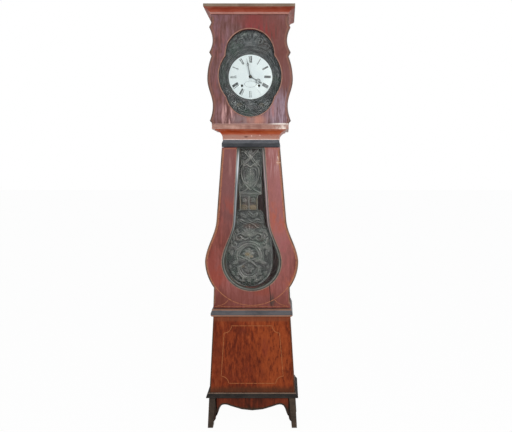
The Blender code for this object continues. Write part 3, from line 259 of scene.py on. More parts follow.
def black(name, low, high, worn, top=None, seed=0.0, hold=0.0, spots=(), marks=(), rough=(0.32, 0.52)):
    """Paint on a moulding, rubbed through where the stored wear is high, and of another tone where tint is.

    Spots, seen where it is worn, and marks are (place, colour, share). On the trunk's bead the stored wear also lays a
    painted highlight along its ridge and painted shade on its inner side, and the spots are painted highlights and
    painted shade.
    """
    look = Look(name, specular_ior_level=0.18)
    cloud = look.noise(22.0, (0.5, 1.0, 1.0), 4.0, 0.6, 0.3, (seed, seed, seed))
    fine = look.noise(190.0, (0.4, 1.0, 1.0), 3.0)
    worn_by = look.plus(cloud, fine)
    colour = look.mix(look.band(cloud, 0.35, 0.65), low, high)
    if top:
        colour = look.mix(look.times(look.stored("tint"), look.band(worn_by, 0.7, 1.15, 0.45, 0.95)), colour, top)
    colour = look.mix(look.times(look.stored("wear"), look.band(worn_by, 0.72, 1.2, hold, 1.0)), colour, worn)
    for place, shade, share in spots:
        colour = look.mix(look.times(look.spot(*place), look.times(look.stored("wear"), share)), colour, shade)
    for place, shade, share in marks:
        broken = look.band(worn_by, 0.75, 1.0, 0.3 * share, share)
        colour = look.mix(look.times(look.spot(*place), broken), colour, shade)
    return look.dress(colour, look.band(fine, 0.3, 0.7, *rough), fine, 0.0004)


def painted_line(name, colour, under):
    """Thin paint of one colour, worn down to another."""
    look = Look(name, specular_ior_level=0.22)
    worn = look.band(look.noise(60.0, (1, 1, 1), 4.0, 0.65), 0.36, 0.52)
    fine = look.noise(400.0)
    return look.dress(look.mix(worn, under, colour), look.band(fine, 0.3, 0.7, 0.4, 0.6), fine, 0.0002)


def metal(name, low, high, rough, shine, scale, rust=None):
    look = Look(name, metallic=shine)
    cloud = look.noise(scale, (1, 1, 1), 5.0, 0.62, 0.4)
    fine = look.noise(scale * 9, (1, 1, 1), 2.0)
    colour = look.mix(look.band(cloud, 0.3, 0.7), low, high)
    if rust:
        colour = look.mix(look.band(look.plus(cloud, fine), 0.98, 1.25, 0.0, 0.8), colour, rust)
    return look.dress(colour, look.band(cloud, 0.3, 0.7, rough[1], rough[0]), fine, 0.0002)


def coat(look, *names):
    """Gives CAD nodes that stay in sight their material."""
    for name in names:
        nodes[name].material_slots[0].material = look


# Outlines, repeated from the part's source
def span(node):
    """The lowest and highest z of a node."""
    low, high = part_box(node)
    return low.z, high.z


Z_HOOD0, Z_HOOD1 = span("hood_door")
Z_TRUNK0, Z_TRUNK1 = span("trunk_door")
Z_BASE0, Z_BASE1 = span("base_front")
Z_DIAL = sum(span("dial")) / 2
Z_HANG = joints["pendulum_swing"]["pos_m"][2]
Y_HOOD, Y_TRUNK, Y_BASE = (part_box(node)[0].y for node in ("hood_door", "trunk_door", "base_front"))
Y_DIAL, Y_BACK = (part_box(node)[1].y for node in ("dial", "back_board"))
BOARD = 0.018
FIT = 0.0004
HOOD_FOOT = 0.2094
HOOD_EDGE = (
    (0.0105, 0.2098, "line"), (0.0206, 0.2198, "line"), (0.1035, 0.2025, "early"), (0.2415, 0.2302, "ease"),
    (0.3625, 0.2067, "late"), (0.3835, 0.2183, "line"), (0.4460, 0.1990, "early"), (0.5135, 0.2168, "late"),
    (0.5350, 0.2056, "line"), (0.5785, 0.2060, "line"),
)
HOOD_DISCS = ((0.1145, 0.1300), (-0.0010, 0.1687), (-0.0850, 0.1310))
BULB_R, BULB_KEPT = 0.2631, 0.817
BULB_BLEND = 0.232
Z_BULB = Z_TRUNK0 + 0.2711
DOOR_FOOT, DOOR_NIP, DOOR_NECK = 0.2200, 0.2146, 0.1610
PEAR_R, PEAR_KEPT = 0.1681, 0.68
PEAR_NECK = 0.0762
PEAR_BAR, PEAR_HEAD = 0.0185, 0.0085
Z_PEAR = Z_TRUNK0 + 0.2691
TRUNK_TOP, TRUNK_FOOT = 0.1500, 0.2125
BASE_TOP, BASE_FOOT = 0.2180, 0.2583


def mirrored(right):
    return list(right) + [(-x, z) for x, z in reversed(right) if abs(x) > 1e-9]


def disc(radius, count, x=0.0, z=0.0):
    turns = [2 * math.pi * i / count for i in range(count)]
    return [(x + radius * math.cos(a), z + radius * math.sin(a)) for a in turns]


def hood_right(fill=22):
    low, half = 0.0, HOOD_FOOT
    rows = [(half, Z_HOOD0)]
    for high, goal, course in HOOD_EDGE:
        count = 4 if course == "line" else fill
        for i in range(1, count + 1):
            u = i / count
            share = {"line": u, "ease": 0.5 - 0.5 * math.cos(math.pi * u), "early": 1 - (1 - u) ** 2, "late": u * u}
            rows.append((half + (goal - half) * share[course], Z_HOOD0 + low + (high - low) * u))
        low, half = high, goal
    return rows


def hood_hole(grow=0.0, count=110):
    discs = [(Z_DIAL + up, radius + grow) for up, radius in HOOD_DISCS]
    top = discs[0][0] + discs[0][1]
    low = discs[2][0] - discs[2][1]
    rows = [(0.0, low)]
    for i in range(1, count):
        z = (top + low) / 2 - (top - low) / 2 * math.cos(math.pi * i / count)
        rows.append((max(math.sqrt(max(0.0, r * r - (z - c) ** 2)) for c, r in discs), z))
    return mirrored(rows + [(0.0, top)])


def taper(radius, kept, neck, middle, top, steps=60):
    """Rows from the middle of a bulb up to its neck. The bulb swells by what isn't kept of its radius."""
    rows = []
    for i in range(1, steps + 1):
        z = middle + (top - middle) * i / steps
        swell = 0.5 + 0.5 * math.cos(math.pi * min(1.0, (z - middle) / BULB_BLEND))
        plain = neck + (radius * kept - neck) * (top - z) / (top - middle)
        rows.append((plain + radius * (1 - kept) * swell, z))
    return rows


def pear(radius, neck, top, arc=44):
    turns = [-math.pi / 2 + math.pi / 2 * i / arc for i in range(1, arc + 1)]
    bowl = [(radius * math.cos(a), Z_PEAR + radius * math.sin(a)) for a in turns]
    return [(0.0, Z_PEAR - radius)] + bowl + taper(radius, PEAR_KEPT, neck, Z_PEAR, top)


def trunk_right(arc=30):
    drop = math.sqrt(BULB_R ** 2 - DOOR_NIP ** 2)
    foot = [(DOOR_FOOT - (DOOR_FOOT - DOOR_NIP) * u, Z_TRUNK0 + (Z_BULB - drop - Z_TRUNK0) * u)
            for u in (0.0, 0.33, 0.66)]
    turns = [-math.asin(drop / BULB_R) * (1 - i / arc) for i in range(arc + 1)]
    bulb = [(BULB_R * math.cos(a), Z_BULB + BULB_R * math.sin(a)) for a in turns]
    return foot + bulb + taper(BULB_R, BULB_KEPT, DOOR_NECK, Z_BULB, Z_TRUNK1)


def base_half(z):
    return BASE_TOP + (BASE_FOOT - BASE_TOP) * (Z_BASE1 - z) / Z_BASE1


def trunk_half(z):
    top, low = span("neck_band")[0], span("waist_moulding")[0]
    return TRUNK_TOP + (TRUNK_FOOT - TRUNK_TOP) * max(0.0, top - z) / (top - low)


def eroded(rows, reach):
    """Half widths of an outline moved inwards by reach, at the same heights."""
    out = []
    for _, z in rows:
        near = [(h, zz) for h, zz in rows if abs(zz - z) < reach]
        out.append((min(h - math.sqrt(reach ** 2 - (zz - z) ** 2) for h, zz in near), z))
    return out


# Mesh helpers
def within(p, loops):
    odd = False
    for loop in loops:
        for (ax, az), (bx, bz) in zip(loop, loop[1:] + loop[:1]):
            if (az > p[1]) != (bz > p[1]) and p[0] < ax + (bx - ax) * (p[1] - az) / (bz - az):
                odd = not odd
    return odd


def cover(loops, inner=()):
    """Triangles between the loops, as indices into their points and then the inner points."""
    flat = [Vector(p) for loop in loops for p in loop] + [Vector(p) for p in inner]
    edges = []
    start = 0
    for loop in loops:
        count = len(loop)
        edges += [(start + i, start + (i + 1) % count) for i in range(count)]
        start += count
    made = delaunay_2d_cdt(flat, edges, [], 1, 1e-7)
    back = [min(kept) for kept in made[3]]
    found = []
    for face in made[2]:
        middle = sum((made[0][i] for i in face), Vector((0.0, 0.0))) / 3
        if within(middle, loops):
            found.append(tuple(back[i] for i in face))
    return found


def far(points, loop):
    """How far each point lies from a closed loop."""
    p = np.array(points)[:, None, :]
    a = np.array(loop)[None]
    run = np.roll(a, -1, 1) - a
    share = np.clip(((p - a) * run).sum(2) / (run ** 2).sum(2), 0, 1)
    return np.sqrt(((p - a - share[..., None] * run) ** 2).sum(2)).min(1)


def inset(loop, reach):
    """A closed counter-clockwise loop moved inwards, with points that would cross over drawn together."""
    out = []
    count = len(loop)
    for i in range(count):
        a, b, c = Vector(loop[i - 1]), Vector(loop[i]), Vector(loop[(i + 1) % count])
        u, v = (b - a).normalized(), (c - b).normalized()
        first = Vector((-u.y, u.x))
        turn = first + Vector((-v.y, v.x))
        turn = turn.normalized() if turn.length > 1e-6 else first
        out.append(tuple(b + turn * reach / max(0.4, turn.dot(first))))
    sound = far(out, loop) > abs(reach) * 0.97
    kept = [i for i in range(count) if sound[i]]
    for i in range(count):
        if not sound[i]:
            out[i] = out[min(kept, key=lambda k: min((k - i) % count, (i - k) % count))]
    return out


class Build:
    """Points, faces and stored values of one mesh."""

    def __init__(self):
        self.points, self.faces, self.values = [], [], {}

    def ring(self, loop, **values):
        first = len(self.points)
        self.points.extend(loop)
        for key, value in values.items():
            self.values.setdefault(key, []).extend([value] * len(loop))
        return list(range(first, len(self.points)))

    def wall(self, low, high, closed=True):
        count = len(low)
        for i in range(count if closed else count - 1):
            j = (i + 1) % count
            self.faces.append((low[i], low[j], high[j], high[i]))

    def tube(self, rings, closed=True):
        """Walls from each ring to the next and from the last to the first, with ends where the rings are open."""
        for a, b in zip(rings, rings[1:] + rings[:1]):
            self.wall(a, b, closed)
        if not closed:
            self.faces += [tuple(r[0] for r in rings), tuple(r[-1] for r in reversed(rings))]

    def cap(self, loops, rings, inner=()):
        order = [i for one in rings for i in one] + list(inner)
        loose = [(self.points[i][0], self.points[i][2]) for i in inner]
        self.faces.extend(tuple(order[i] for i in face) for face in cover(loops, loose))

    def done(self, name, look, body, stands_for=(), angle=40.0):
        mesh = bpy.data.meshes.new(name)
        mesh.from_pydata([tuple(p) for p in self.points], [], self.faces)
        shape = bmesh.new()
        shape.from_mesh(mesh)
        bmesh.ops.recalc_face_normals(shape, faces=shape.faces)
        shape.to_mesh(mesh)
        shape.free()
        for key, numbers in self.values.items():
            mesh.attributes.new(key, "FLOAT", "POINT").data.foreach_set("value", np.array(numbers, np.float32))
        mesh.shade_smooth()
        mesh.set_sharp_from_angle(angle=math.radians(angle))
        mesh.materials.append(look)
        made = bpy.data.objects.new(name, mesh)
        scene.collection.objects.link(made)
        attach(made, body)
        if stands_for:
            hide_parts(*stands_for)
        return made


# Where a board's painted strip ends, and how far lines and dents rise or sink
EDGE_END, FACE_END, HOLE_CLEAR = 0.0045, 0.002, 0.0008
STRIP_RIM, STRIP_FADE, STRIP_CALM = 0.72, 0.0016, 0.012
LINE_RISE, LINE_SINK = 0.0003, 0.0006
UNEVEN, CHIPPED, BEAD_DENT = 0.00035, 0.0011, 0.0002


def flat_front(y):
    """Places a board that faces the front: t runs backwards from its face."""
    return lambda a, b, t: (a, y + t, b)


def worn_edge(radius, steps):
    """Rows of (reach, depth) round an edge, from its side to its face."""
    turns = [math.pi / 2 * i / steps for i in range(steps + 1)]
    return [(radius * (1 - math.cos(a)), radius * (1 - math.sin(a))) for a in turns]


def board(name, loops, place, depth, look, body, node, edge, strip=0.0, hole_edge=0.0):
    """A board with worn round edges and a painted strip along them. Its first loop is its outline, others are holes.

    The rim attribute is 1 on its edges, more in its holes and 0 on its face. Near top and foot a strip stops. The walls
    of its holes take the dark edge tone throughout: painted shade in the reveal.
    """
    made = Build()
    first, last = [], []
    for number, loop in enumerate(loops):
        sign, rows = 1.0, [(0.0, depth, 1.0)] + [(*row, 1.0) for row in worn_edge(edge, 4)]
        if number:
            # A hole's walls carry 1.3, so they are painted dark: painted shade in the opening
            sign, rows = -1.0, [(0.0, depth, 1.3), (0.0, hole_edge, 1.3)]
            rows += [(*row, 0.0) for row in worn_edge(hole_edge, 3)[1:]]
        low, high = min(z for _, z in loop), max(z for _, z in loop)
        rings = []
        for reach, t, rim in rows:
            at = inset(loop, sign * reach) if reach else list(loop)
            rings.append(made.ring([place(a, b, t) for a, b in at], rim=rim))
            if strip:
                made.values["rim"][-len(at):] = [rim if low + EDGE_END < b < high - EDGE_END else 0.0 for _, b in at]
        for a, b in zip(rings, rings[1:]):
            made.wall(a, b)
        first.append((loop, rings[0]))
        last.append((at, rings[-1]))
    inner = []
    if strip:
        outline = loops[0]
        low, high = min(z for _, z in outline) + FACE_END, max(z for _, z in outline) - FACE_END
        for reach, rim in ((strip, STRIP_RIM), (strip + STRIP_FADE, 0.0), (strip + STRIP_CALM, 0.0)):
            at = [p for p in inset(outline, reach) if within(p, [at for at, _ in last])]
            at = [p for n, p in enumerate(at) if p not in at[:n]]
            for hole, _ in last[1:]:
                at = [p for p, gap in zip(at, far(at, hole)) if gap > HOLE_CLEAR]
            inner += made.ring([place(a, b, 0.0) for a, b in at], rim=rim)
            made.values["rim"][-len(at):] = [rim if low + reach < b < high - reach else 0.0 for _, b in at]
    for sides, more in ((last, inner), (first, ())):
        made.cap([at for at, _ in sides], [ring for _, ring in sides], more)
    return made.done(name, look, body, (node,))


def painted(name, look, body, y, strokes, rise=LINE_RISE, closed=False):
    """Painted lines on a board that faces the front: flat bands just proud of it. Strokes are (path, half width)."""
    made = Build()
    for path, half in strokes:
        left, right = [], []
        count = len(path)
        for i, p in enumerate(path):
            before = Vector(path[i - 1 if closed else max(i - 1, 0)])
            after = Vector(path[(i + 1) % count if closed else min(i + 1, count - 1)])
            run = (after - before).normalized()
            side = Vector((-run.y, run.x)) * half
            left.append(Vector(p) + side)
            right.append(Vector(p) - side)
        edges = ((left, LINE_SINK), (left, -rise), (right, -rise), (right, LINE_SINK))
        made.tube([made.ring([(p.x, y + t, p.y) for p in row]) for row, t in edges], closed)
    return made.done(name, look, body)


def fillet(rows, radius=0.0016, steps=3):
    """Rounds the corners of an open profile of (reach, height) rows, keeping its two ends."""
    out = [(*rows[0], 0.0)]
    for a, b, c in zip(rows, rows[1:], rows[2:]):
        a, b, c = Vector(a), Vector(b), Vector(c)
        back, on = (a - b), (c - b)
        reach = min(radius, back.length * 0.45, on.length * 0.45)
        start, stop = b + back.normalized() * reach, b + on.normalized() * reach
        sharp = min(1.0, (math.pi - back.angle(on)) / 1.2)
        for i in range(steps + 1):
            u = i / steps
            p = start * (1 - u) ** 2 + b * 2 * u * (1 - u) + stop * u * u
            out.append((p.x, p.y, sharp * math.sin(math.pi * u)))
    out.append((*rows[-1], 0.0))
    return out


def moulding(name, node, core, rows, place, look, tint, seed, side=8, front=44):
    """A moulding run round the front and both sides, over a core of (half width, y) at each height.

    Rows are (reach, height over its foot), outwards from the case. The last reach goes on to its top.
    Wear and tint are stored for its paint, and are less on the sides.
    """
    low, high = span(node)
    rows = [(reach, low + up) for reach, up in rows] + [(rows[-1][0], high)]
    profile = [(*core(z), z, None, 0.0) for z in (high, low)]
    profile += [(*place(reach, z), z, sharp, float(tint(z - low, high - z))) for reach, z, sharp in fillet(rows)]
    made = Build()
    rings = []
    for half, y, z, sharp, shade in profile:
        path = [(-half, Y_BACK + (y - Y_BACK) * i / side) for i in range(side)]
        path += [(-half + 2 * half * i / front, y) for i in range(front)]
        path += [(half, y + (Y_BACK - y) * i / side) for i in range(side + 1)]
        loop = []
        for px, py in path:
            dent = 0.0
            if sharp is not None:
                chip = max(0.0, noise.noise(Vector((px * 21 - seed, py * 21, z * 25))) - 0.28)
                dent = UNEVEN * noise.noise(Vector((px * 34 + seed, py * 34, z * 60))) - CHIPPED * sharp * chip
            loop.append((px * (1 + dent / half), py - dent, z))
        rings.append(made.ring(loop, wear=sharp or 0.0, tint=shade))
        for key, share in (("wear", 0.3), ("tint", 0.2)):
            for i in range(len(loop)):
                if i < side or i > side + front:
                    made.values[key][i - len(loop)] *= share
    made.tube(rings, closed=False)
    return made.done(name, look, "case", (node,), 50.0)


# Paint of the case
DOOR_BACK = (112, 76, 52), (156, 116, 82)
# The hood's and trunk's tones are paler and pinker than the base's: partly their own paint, and partly painted sheen
# where they catch more light
hood_paint = paint(
    "hood_paint", [(0.0, (88, 52, 48)), (0.35, (108, 72, 68)), (0.65, (122, 86, 88)), (1.0, (142, 106, 110))],
    spots=[
        ((0.140, 2.160, 0.10, 0.18), (108, 58, 50), 0.8, "brushed"),
        ((0.190, 1.950, 0.06, 0.18), (112, 66, 60), 0.75, "patches"),
        ((-0.165, 2.090, 0.06, 0.22), (112, 78, 88), 0.7, "patches"),
        ((-0.170, 2.150, 0.04, 0.07), (134, 76, 70), 0.6, "streaks"),
        ((-0.190, 1.900, 0.04, 0.10), (124, 70, 62), 0.7, "streaks"),
        ((0.022, 2.245, 0.052, 0.065), (136, 44, 46), 0.85, "brushed"),
        ((0.098, 2.215, 0.045, 0.060), (132, 50, 46), 0.75, "streaks"),
        ((0.030, 2.275, 0.110, 0.030), (118, 58, 54), 0.6, "brushed"),
        ((-0.118, 1.775, 0.042, 0.056), (212, 164, 158), 0.8, "streaks"),
        ((0.030, 1.752, 0.055, 0.026), (190, 130, 112), 0.8, "brushed"),
        ((0.160, 1.800, 0.075, 0.095), (150, 130, 142), 0.85, "brushed"),
        ((0.165, 1.775, 0.065, 0.055), (168, 146, 154), 0.75, "streaks"),
        ((0.120, 1.800, 0.050, 0.040), (156, 100, 96), 0.7, "streaks"),
        ((-0.040, 1.752, 0.060, 0.028), (132, 112, 112), 0.7, "patches"),
        # A painted highlight along the door's lower edge, and a brighter one at its right end
        ((0.000, 1.7262, 0.40, 0.0040), (196, 156, 144), 0.85, "plain"),
        ((0.165, 1.7275, 0.050, 0.0050), (250, 238, 230), 0.95, "plain"),
    ],
    rim=((126, 88, 76), (80, 58, 46)), streak=84.0, inside=DOOR_BACK, back=True,
)
trunk_paint = paint(
    "trunk_paint", [(0.0, (108, 54, 46)), (0.4, (130, 70, 62)), (0.7, (140, 78, 72)), (1.0, (152, 92, 88))],
    spots=[
        # Painted light: the right half lighter, where the light falls from the front right
        ((0.150, 1.330, 0.10, 0.42), (160, 106, 104), 0.65, "plain"),
        ((0.115, 1.530, 0.05, 0.08), (176, 134, 134), 0.6, "streaks"),
        # Painted shade: the left half darker
        ((-0.130, 1.440, 0.05, 0.28), (118, 76, 75), 0.8, "plain"),
        ((-0.118, 1.500, 0.012, 0.05), (164, 116, 108), 0.45, "streaks"),
        ((-0.150, 1.170, 0.08, 0.13), (150, 64, 44), 0.75, "patches"),
        ((-0.200, 0.930, 0.05, 0.14), (142, 60, 42), 0.7, "patches"),
        ((0.165, 1.215, 0.06, 0.08), (168, 82, 60), 0.65, "patches"),
        ((0.215, 0.930, 0.05, 0.10), (156, 78, 60), 0.5, "patches"),
        ((0.000, 0.760, 0.26, 0.060), (116, 62, 54), 0.6, "plain"),
        ((-0.180, 0.730, 0.06, 0.040), (104, 50, 38), 0.7, "plain"),
        ((0.116, 0.742, 0.012, 0.034), (70, 56, 50), 0.75, "brushed"),
        ((0.128, 0.727, 0.026, 0.014), (62, 58, 50), 0.8, "patches"),
        ((0.155, 1.521, 0.016, 0.012), (196, 150, 120), 0.6, "streaks"),
        ((0.112, 1.240, 0.022, 0.110), (172, 94, 72), 0.45, "patches"),
        ((0.165, 1.340, 0.030, 0.080), (154, 98, 102), 0.5, "patches"),
        ((0.200, 1.000, 0.040, 0.110), (152, 82, 84), 0.6, "patches"),
        ((0.226, 0.870, 0.030, 0.070), (160, 84, 54), 0.6, "patches"),
        ((-0.215, 1.010, 0.030, 0.090), (124, 62, 56), 0.6, "patches"),
        ((0.060, 0.800, 0.050, 0.030), (142, 68, 52), 0.6, "patches"),
        # Painted shade down the right edge of the bulb, on the side turned from the light
        ((0.270, 0.935, 0.014, 0.110), (62, 48, 30), 0.85, "plain"),
    ],
    rim=((146, 106, 82), (66, 50, 40)), seed=3.0, streak=56.0, inside=DOOR_BACK, back=True,
)
base_paint = paint(
    "base_paint", [(0.0, (86, 30, 16)), (0.4, (116, 46, 22)), (0.7, (132, 55, 26)), (1.0, (152, 74, 40))],
    spots=[
        ((0.130, 0.440, 0.10, 0.24), (156, 72, 34), 0.65, "brushed"),
        ((-0.130, 0.470, 0.05, 0.14), (142, 62, 30), 0.5, "streaks"),
        ((0.040, 0.500, 0.05, 0.10), (144, 64, 28), 0.6, "streaks"),
        ((-0.050, 0.420, 0.040, 0.030), (84, 34, 14), 0.8, "patches"),
        ((-0.020, 0.330, 0.034, 0.040), (92, 32, 20), 0.7, "patches"),
        ((-0.030, 0.560, 0.022, 0.020), (82, 30, 14), 0.8, "patches"),
        ((0.060, 0.305, 0.024, 0.034), (96, 36, 20), 0.6, "streaks"),
        ((0.010, 0.370, 0.050, 0.050), (106, 42, 34), 0.5, "patches"),
        ((0.085, 0.470, 0.030, 0.060), (118, 46, 34), 0.5, "patches"),
        ((-0.110, 0.330, 0.050, 0.050), (104, 40, 30), 0.5, "patches"),
        ((-0.090, 0.575, 0.060, 0.030), (112, 48, 34), 0.5, "patches"),
        ((-0.195, 0.430, 0.03, 0.25), (96, 42, 24), 0.5, "streaks"),
        ((0.000, 0.640, 0.40, 0.014), (118, 66, 44), 0.7, "plain"),
        ((0.000, 0.215, 0.40, 0.026), (78, 45, 28), 0.85, "plain"),
    ],
    rim=((96, 54, 30), (44, 38, 30)), seed=7.0, grain=0.55, streak=74.0, sheen=0.1, way=(1.0, 1.0, 0.24),
)
apron_paint = paint(
    "apron_paint", [(0.0, (54, 24, 14)), (0.5, (88, 36, 20)), (1.0, (118, 50, 28))],
    spots=[
        # Painted shade along the apron's lower edge
        ((0.000, 0.098, 0.32, 0.018), (48, 40, 28), 0.9, "plain"),
        ((0.225, 0.080, 0.06, 0.06), (58, 40, 30), 0.7, "plain"),
        ((-0.225, 0.080, 0.06, 0.06), (74, 40, 28), 0.6, "plain"),
    ],
    seed=13.0, sheen=0.1,
)
side_paint = paint(
    "side_paint", [(0.0, (82, 36, 26)), (0.4, (110, 50, 38)), (0.7, (122, 58, 44)), (1.0, (138, 74, 60))],
    spots=[
        ((0.0, 2.270, 9.0, 0.050), (92, 42, 32), 0.6, "patches"),
        ((0.0, 1.690, 9.0, 0.050), (150, 96, 80), 0.6, "streaks"),
        ((0.0, 0.640, 9.0, 0.060), (86, 42, 30), 0.6, "patches"),
        ((0.0, 1.150, 9.0, 0.260), (132, 70, 60), 0.5, "brushed"),
    ],
    # The pale tones on the inner faces of the sides are painted light, brightening the shaded inside of the case
    seed=11.0, streak=60.0, inside=((214, 186, 178), (228, 202, 198)),
    legs=(span("base_moulding")[0] + 0.006, (46, 38, 31), (66, 54, 44)),
)
COVE = span("neck_cove")[0]
cove_paint = black(
    "cove_paint", (164, 62, 22), (182, 84, 42), (198, 158, 146), (172, 132, 119), 2.0,
    marks=[
        ((0.0, COVE + 0.0010, 9.0, 0.0030), (240, 212, 202), 0.95),
        ((-0.026, COVE + 0.016, 0.010, 0.0035), (84, 36, 26), 0.9),
        ((0.004, COVE + 0.021, 0.003, 0.0030), (240, 200, 190), 0.9),
        ((0.050, COVE + 0.024, 0.004, 0.0025), (236, 190, 180), 0.8),
    ])
cornice_paint = black("cornice_paint", (142, 54, 30), (160, 74, 52), (176, 130, 112), (174, 126, 116), 4.0)
top_paint = paint(
    "top_paint", [(0.0, (104, 84, 70)), (0.5, (132, 112, 96)), (1.0, (156, 136, 116))],
    rim=((138, 118, 100), (112, 90, 74)), seed=5.0,
)
floor_paint = paint(
    "floor_paint", [(0.0, (134, 92, 82)), (0.5, (160, 118, 106)), (1.0, (186, 146, 132))],
    spots=[((0.17, 1.712, 0.03, 0.03), (240, 226, 214), 0.9, "patches")],
    rim=((170, 128, 112), (150, 112, 96)), seed=9.0, streak=60.0, way=(0.12, 1.0, 1.0),
)
neck_black = black("neck_black", (48, 50, 54), (70, 72, 76), (118, 116, 112), (100, 104, 110), 1.0)
waist_black = black("waist_black", (66, 66, 70), (90, 90, 94), (150, 124, 104), (166, 118, 94), 3.0)
base_black = black("base_black", (34, 31, 29), (50, 46, 43), (74, 64, 56), (148, 124, 108), 6.0, rough=(0.66, 0.86))
foot_black = black("foot_black", (50, 40, 32), (76, 62, 50), (104, 84, 66), None, 8.0)
bead_black = black(
    "bead_black", (46, 48, 44), (66, 68, 63), (130, 131, 124), None, 9.0, hold=0.5,
    spots=[
        # Painted highlights down the bead's left and right limbs, and painted shade that keeps its top dark
        ((-0.080, 1.330, 0.040, 0.190), (170, 178, 184), 0.85),
        ((-0.066, 1.500, 0.030, 0.062), (226, 233, 236), 0.95),
        ((0.080, 1.340, 0.055, 0.200), (182, 158, 160), 0.9),
        ((0.000, span("trunk_moulding")[1], 0.080, 0.022), (56, 60, 60), 0.9),
    ])
crack_look = painted_line("crack", (34, 28, 25), (46, 34, 30))
bare_look = painted_line("bare_scratch", (232, 206, 188), (206, 166, 142))
hood_line = painted_line("hood_line", (142, 96, 78), (118, 78, 70))
trunk_line = painted_line("trunk_line", (178, 114, 78), (142, 80, 62))
base_line = painted_line("base_line", (170, 102, 58), (136, 68, 38))
apron_line = painted_line("apron_line", (52, 38, 28), (40, 30, 22))
edge_line = painted_line("edge_line", (172, 128, 110), (140, 98, 88))

# Hood door, its painted lines and the bead round its opening
board("hood_board", [mirrored(hood_right()), hood_hole()], flat_front(Y_HOOD), BOARD, hood_paint, "hood_door",
      "hood_door", edge=0.0026, strip=0.0105, hole_edge=0.0012)
HOOD_LINE_IN, TRUNK_LINE_IN, RIM_LINE = 0.0128, 0.0122, 0.0022
edge_path = [(h, z) for h, z in eroded(hood_right(), HOOD_LINE_IN) if Z_HOOD0 + 0.004 < z < Z_HOOD1 - 0.003]
painted("hood_lines", hood_line, "hood_door", Y_HOOD,
        [([(sign * h, z) for h, z in edge_path], 0.0016) for sign in (1, -1)])
BEAD_OUT, BEAD_START, BEAD_WIDE, BEAD_RISE = 0.0078, 0.0022, 0.0050, 0.0026
profile = [(BEAD_START, -LINE_SINK)]
profile += [(BEAD_START + BEAD_WIDE / 2 * (1 - math.cos(a)), BEAD_RISE * math.sin(a))
            for a in [math.pi * i / 8 for i in range(9)]]
profile += [(BEAD_START + BEAD_WIDE, -LINE_SINK)]
made = Build()
made.tube([
    made.ring([(x, Y_HOOD - rise + BEAD_DENT * noise.noise(Vector((x * 40, rise * 300, z * 40))), z)
               for x, z in inset(hood_hole(BEAD_OUT), reach)])
    for reach, rise in profile])
made.done("hood_bead", edge_line, "hood_door", angle=50.0)

# Trunk door, the moulding round its opening, and its painted lines
pear_rim = mirrored(pear(PEAR_R, PEAR_NECK, Z_TRUNK1 - FIT))
pear_hole = mirrored(pear(PEAR_R - PEAR_BAR, PEAR_NECK - PEAR_BAR, Z_TRUNK1 - FIT - PEAR_HEAD))
board("trunk_board", [mirrored(trunk_right()), pear_hole], flat_front(Y_TRUNK), BOARD, trunk_paint, "trunk_door",
      "trunk_door", edge=0.0026, strip=0.0095, hole_edge=0.0008)
BEAD_HIGH = 0.0094
BEAD_ROWS = (  # share of the way inwards, share of its height, wear and light: rubbed paint, and a light ridge that is partly a painted highlight over a dark inner side that is painted shade
    (0.00, -0.04, 0.2), (0.00, 0.42, 0.4), (0.05, 0.55, 0.6), (0.12, 0.60, 0.55), (0.19, 0.52, 0.3),
    (0.26, 0.46, 0.25), (0.34, 0.62, 0.4), (0.42, 0.86, 0.8), (0.50, 0.97, 1.0), (0.60, 1.00, 1.0), (0.68, 0.95, 0.9),
    (0.76, 0.80, 0.3), (0.84, 0.60, 0.0), (0.90, 0.46, 0.0), (0.95, 0.44, 0.15), (1.00, 0.38, 0.1), (1.00, -0.04, 0.0),
)
made = Build()
rings = []
for share, rise, wear in BEAD_ROWS:
    loop = []
    for (xo, zo), (xi, zi) in zip(pear_rim, pear_hole):
        dent = BEAD_DENT * noise.noise(Vector((xo * 40, share * 9, zo * 40)))
        loop.append((xo + (xi - xo) * share, Y_TRUNK - rise * BEAD_HIGH + dent, zo + (zi - zo) * share))
    rings.append(made.ring(loop, wear=wear))
made.tube(rings)
made.done("trunk_bead", bead_black, "trunk_door", ("trunk_moulding",), 50.0)


def level(start, stop, z, count):
    return [(start + (stop - start) * i / count, z) for i in range(count + 1)]


def round_line(radius=0.2509, lower=0.0036, count=120):
    """The line that follows the bulb, a little further in at its sides."""
    out = []
    for a in [math.pi * i / count for i in range(count + 1)]:
        reach = radius + lower * math.sin(a) ** 2
        out.append((reach * math.cos(a), Z_BULB - reach * math.sin(a)))
    return out


def corner_line(sign, reach, foot, sweep, up=0.0155, count=18):
    """A quarter round that sweeps up from a line's end at the foot of the door."""
    turns = [math.radians(270 - sweep * i / count) for i in range(count + 1)]
    return [(sign * (foot + reach * math.cos(a)), Z_TRUNK0 + up + reach + reach * math.sin(a)) for a in turns]


edge_path = [(h, z) for h, z in reversed(eroded(trunk_right(), TRUNK_LINE_IN)) if Z_BULB < z < Z_TRUNK1 - 0.008]
painted("trunk_lines", trunk_line, "trunk_door", Y_TRUNK, [
    *(([(sign * h, z) for h, z in edge_path], 0.0018) for sign in (1, -1)),
    (round_line(), 0.0018),
    (corner_line(1, 0.0930, 0.2008, 50), 0.0013),
    (corner_line(-1, 0.0711, 0.1945, 56), 0.0013),
    (level(-0.2120, 0.2120, Z_TRUNK0 + 0.0095, 40), 0.0013),
    (level(-0.1480, -0.0760, Z_TRUNK1 - 0.0075, 12), 0.0014),
    (level(0.0800, 0.1480, Z_TRUNK1 - 0.0075, 12), 0.0012),
])
painted("trunk_rim_line", edge_line, "trunk_door", Y_TRUNK,
        [(mirrored(pear(PEAR_R + RIM_LINE, PEAR_NECK + RIM_LINE, Z_TRUNK1 - 0.0030)), RIM_LINE)], closed=True)
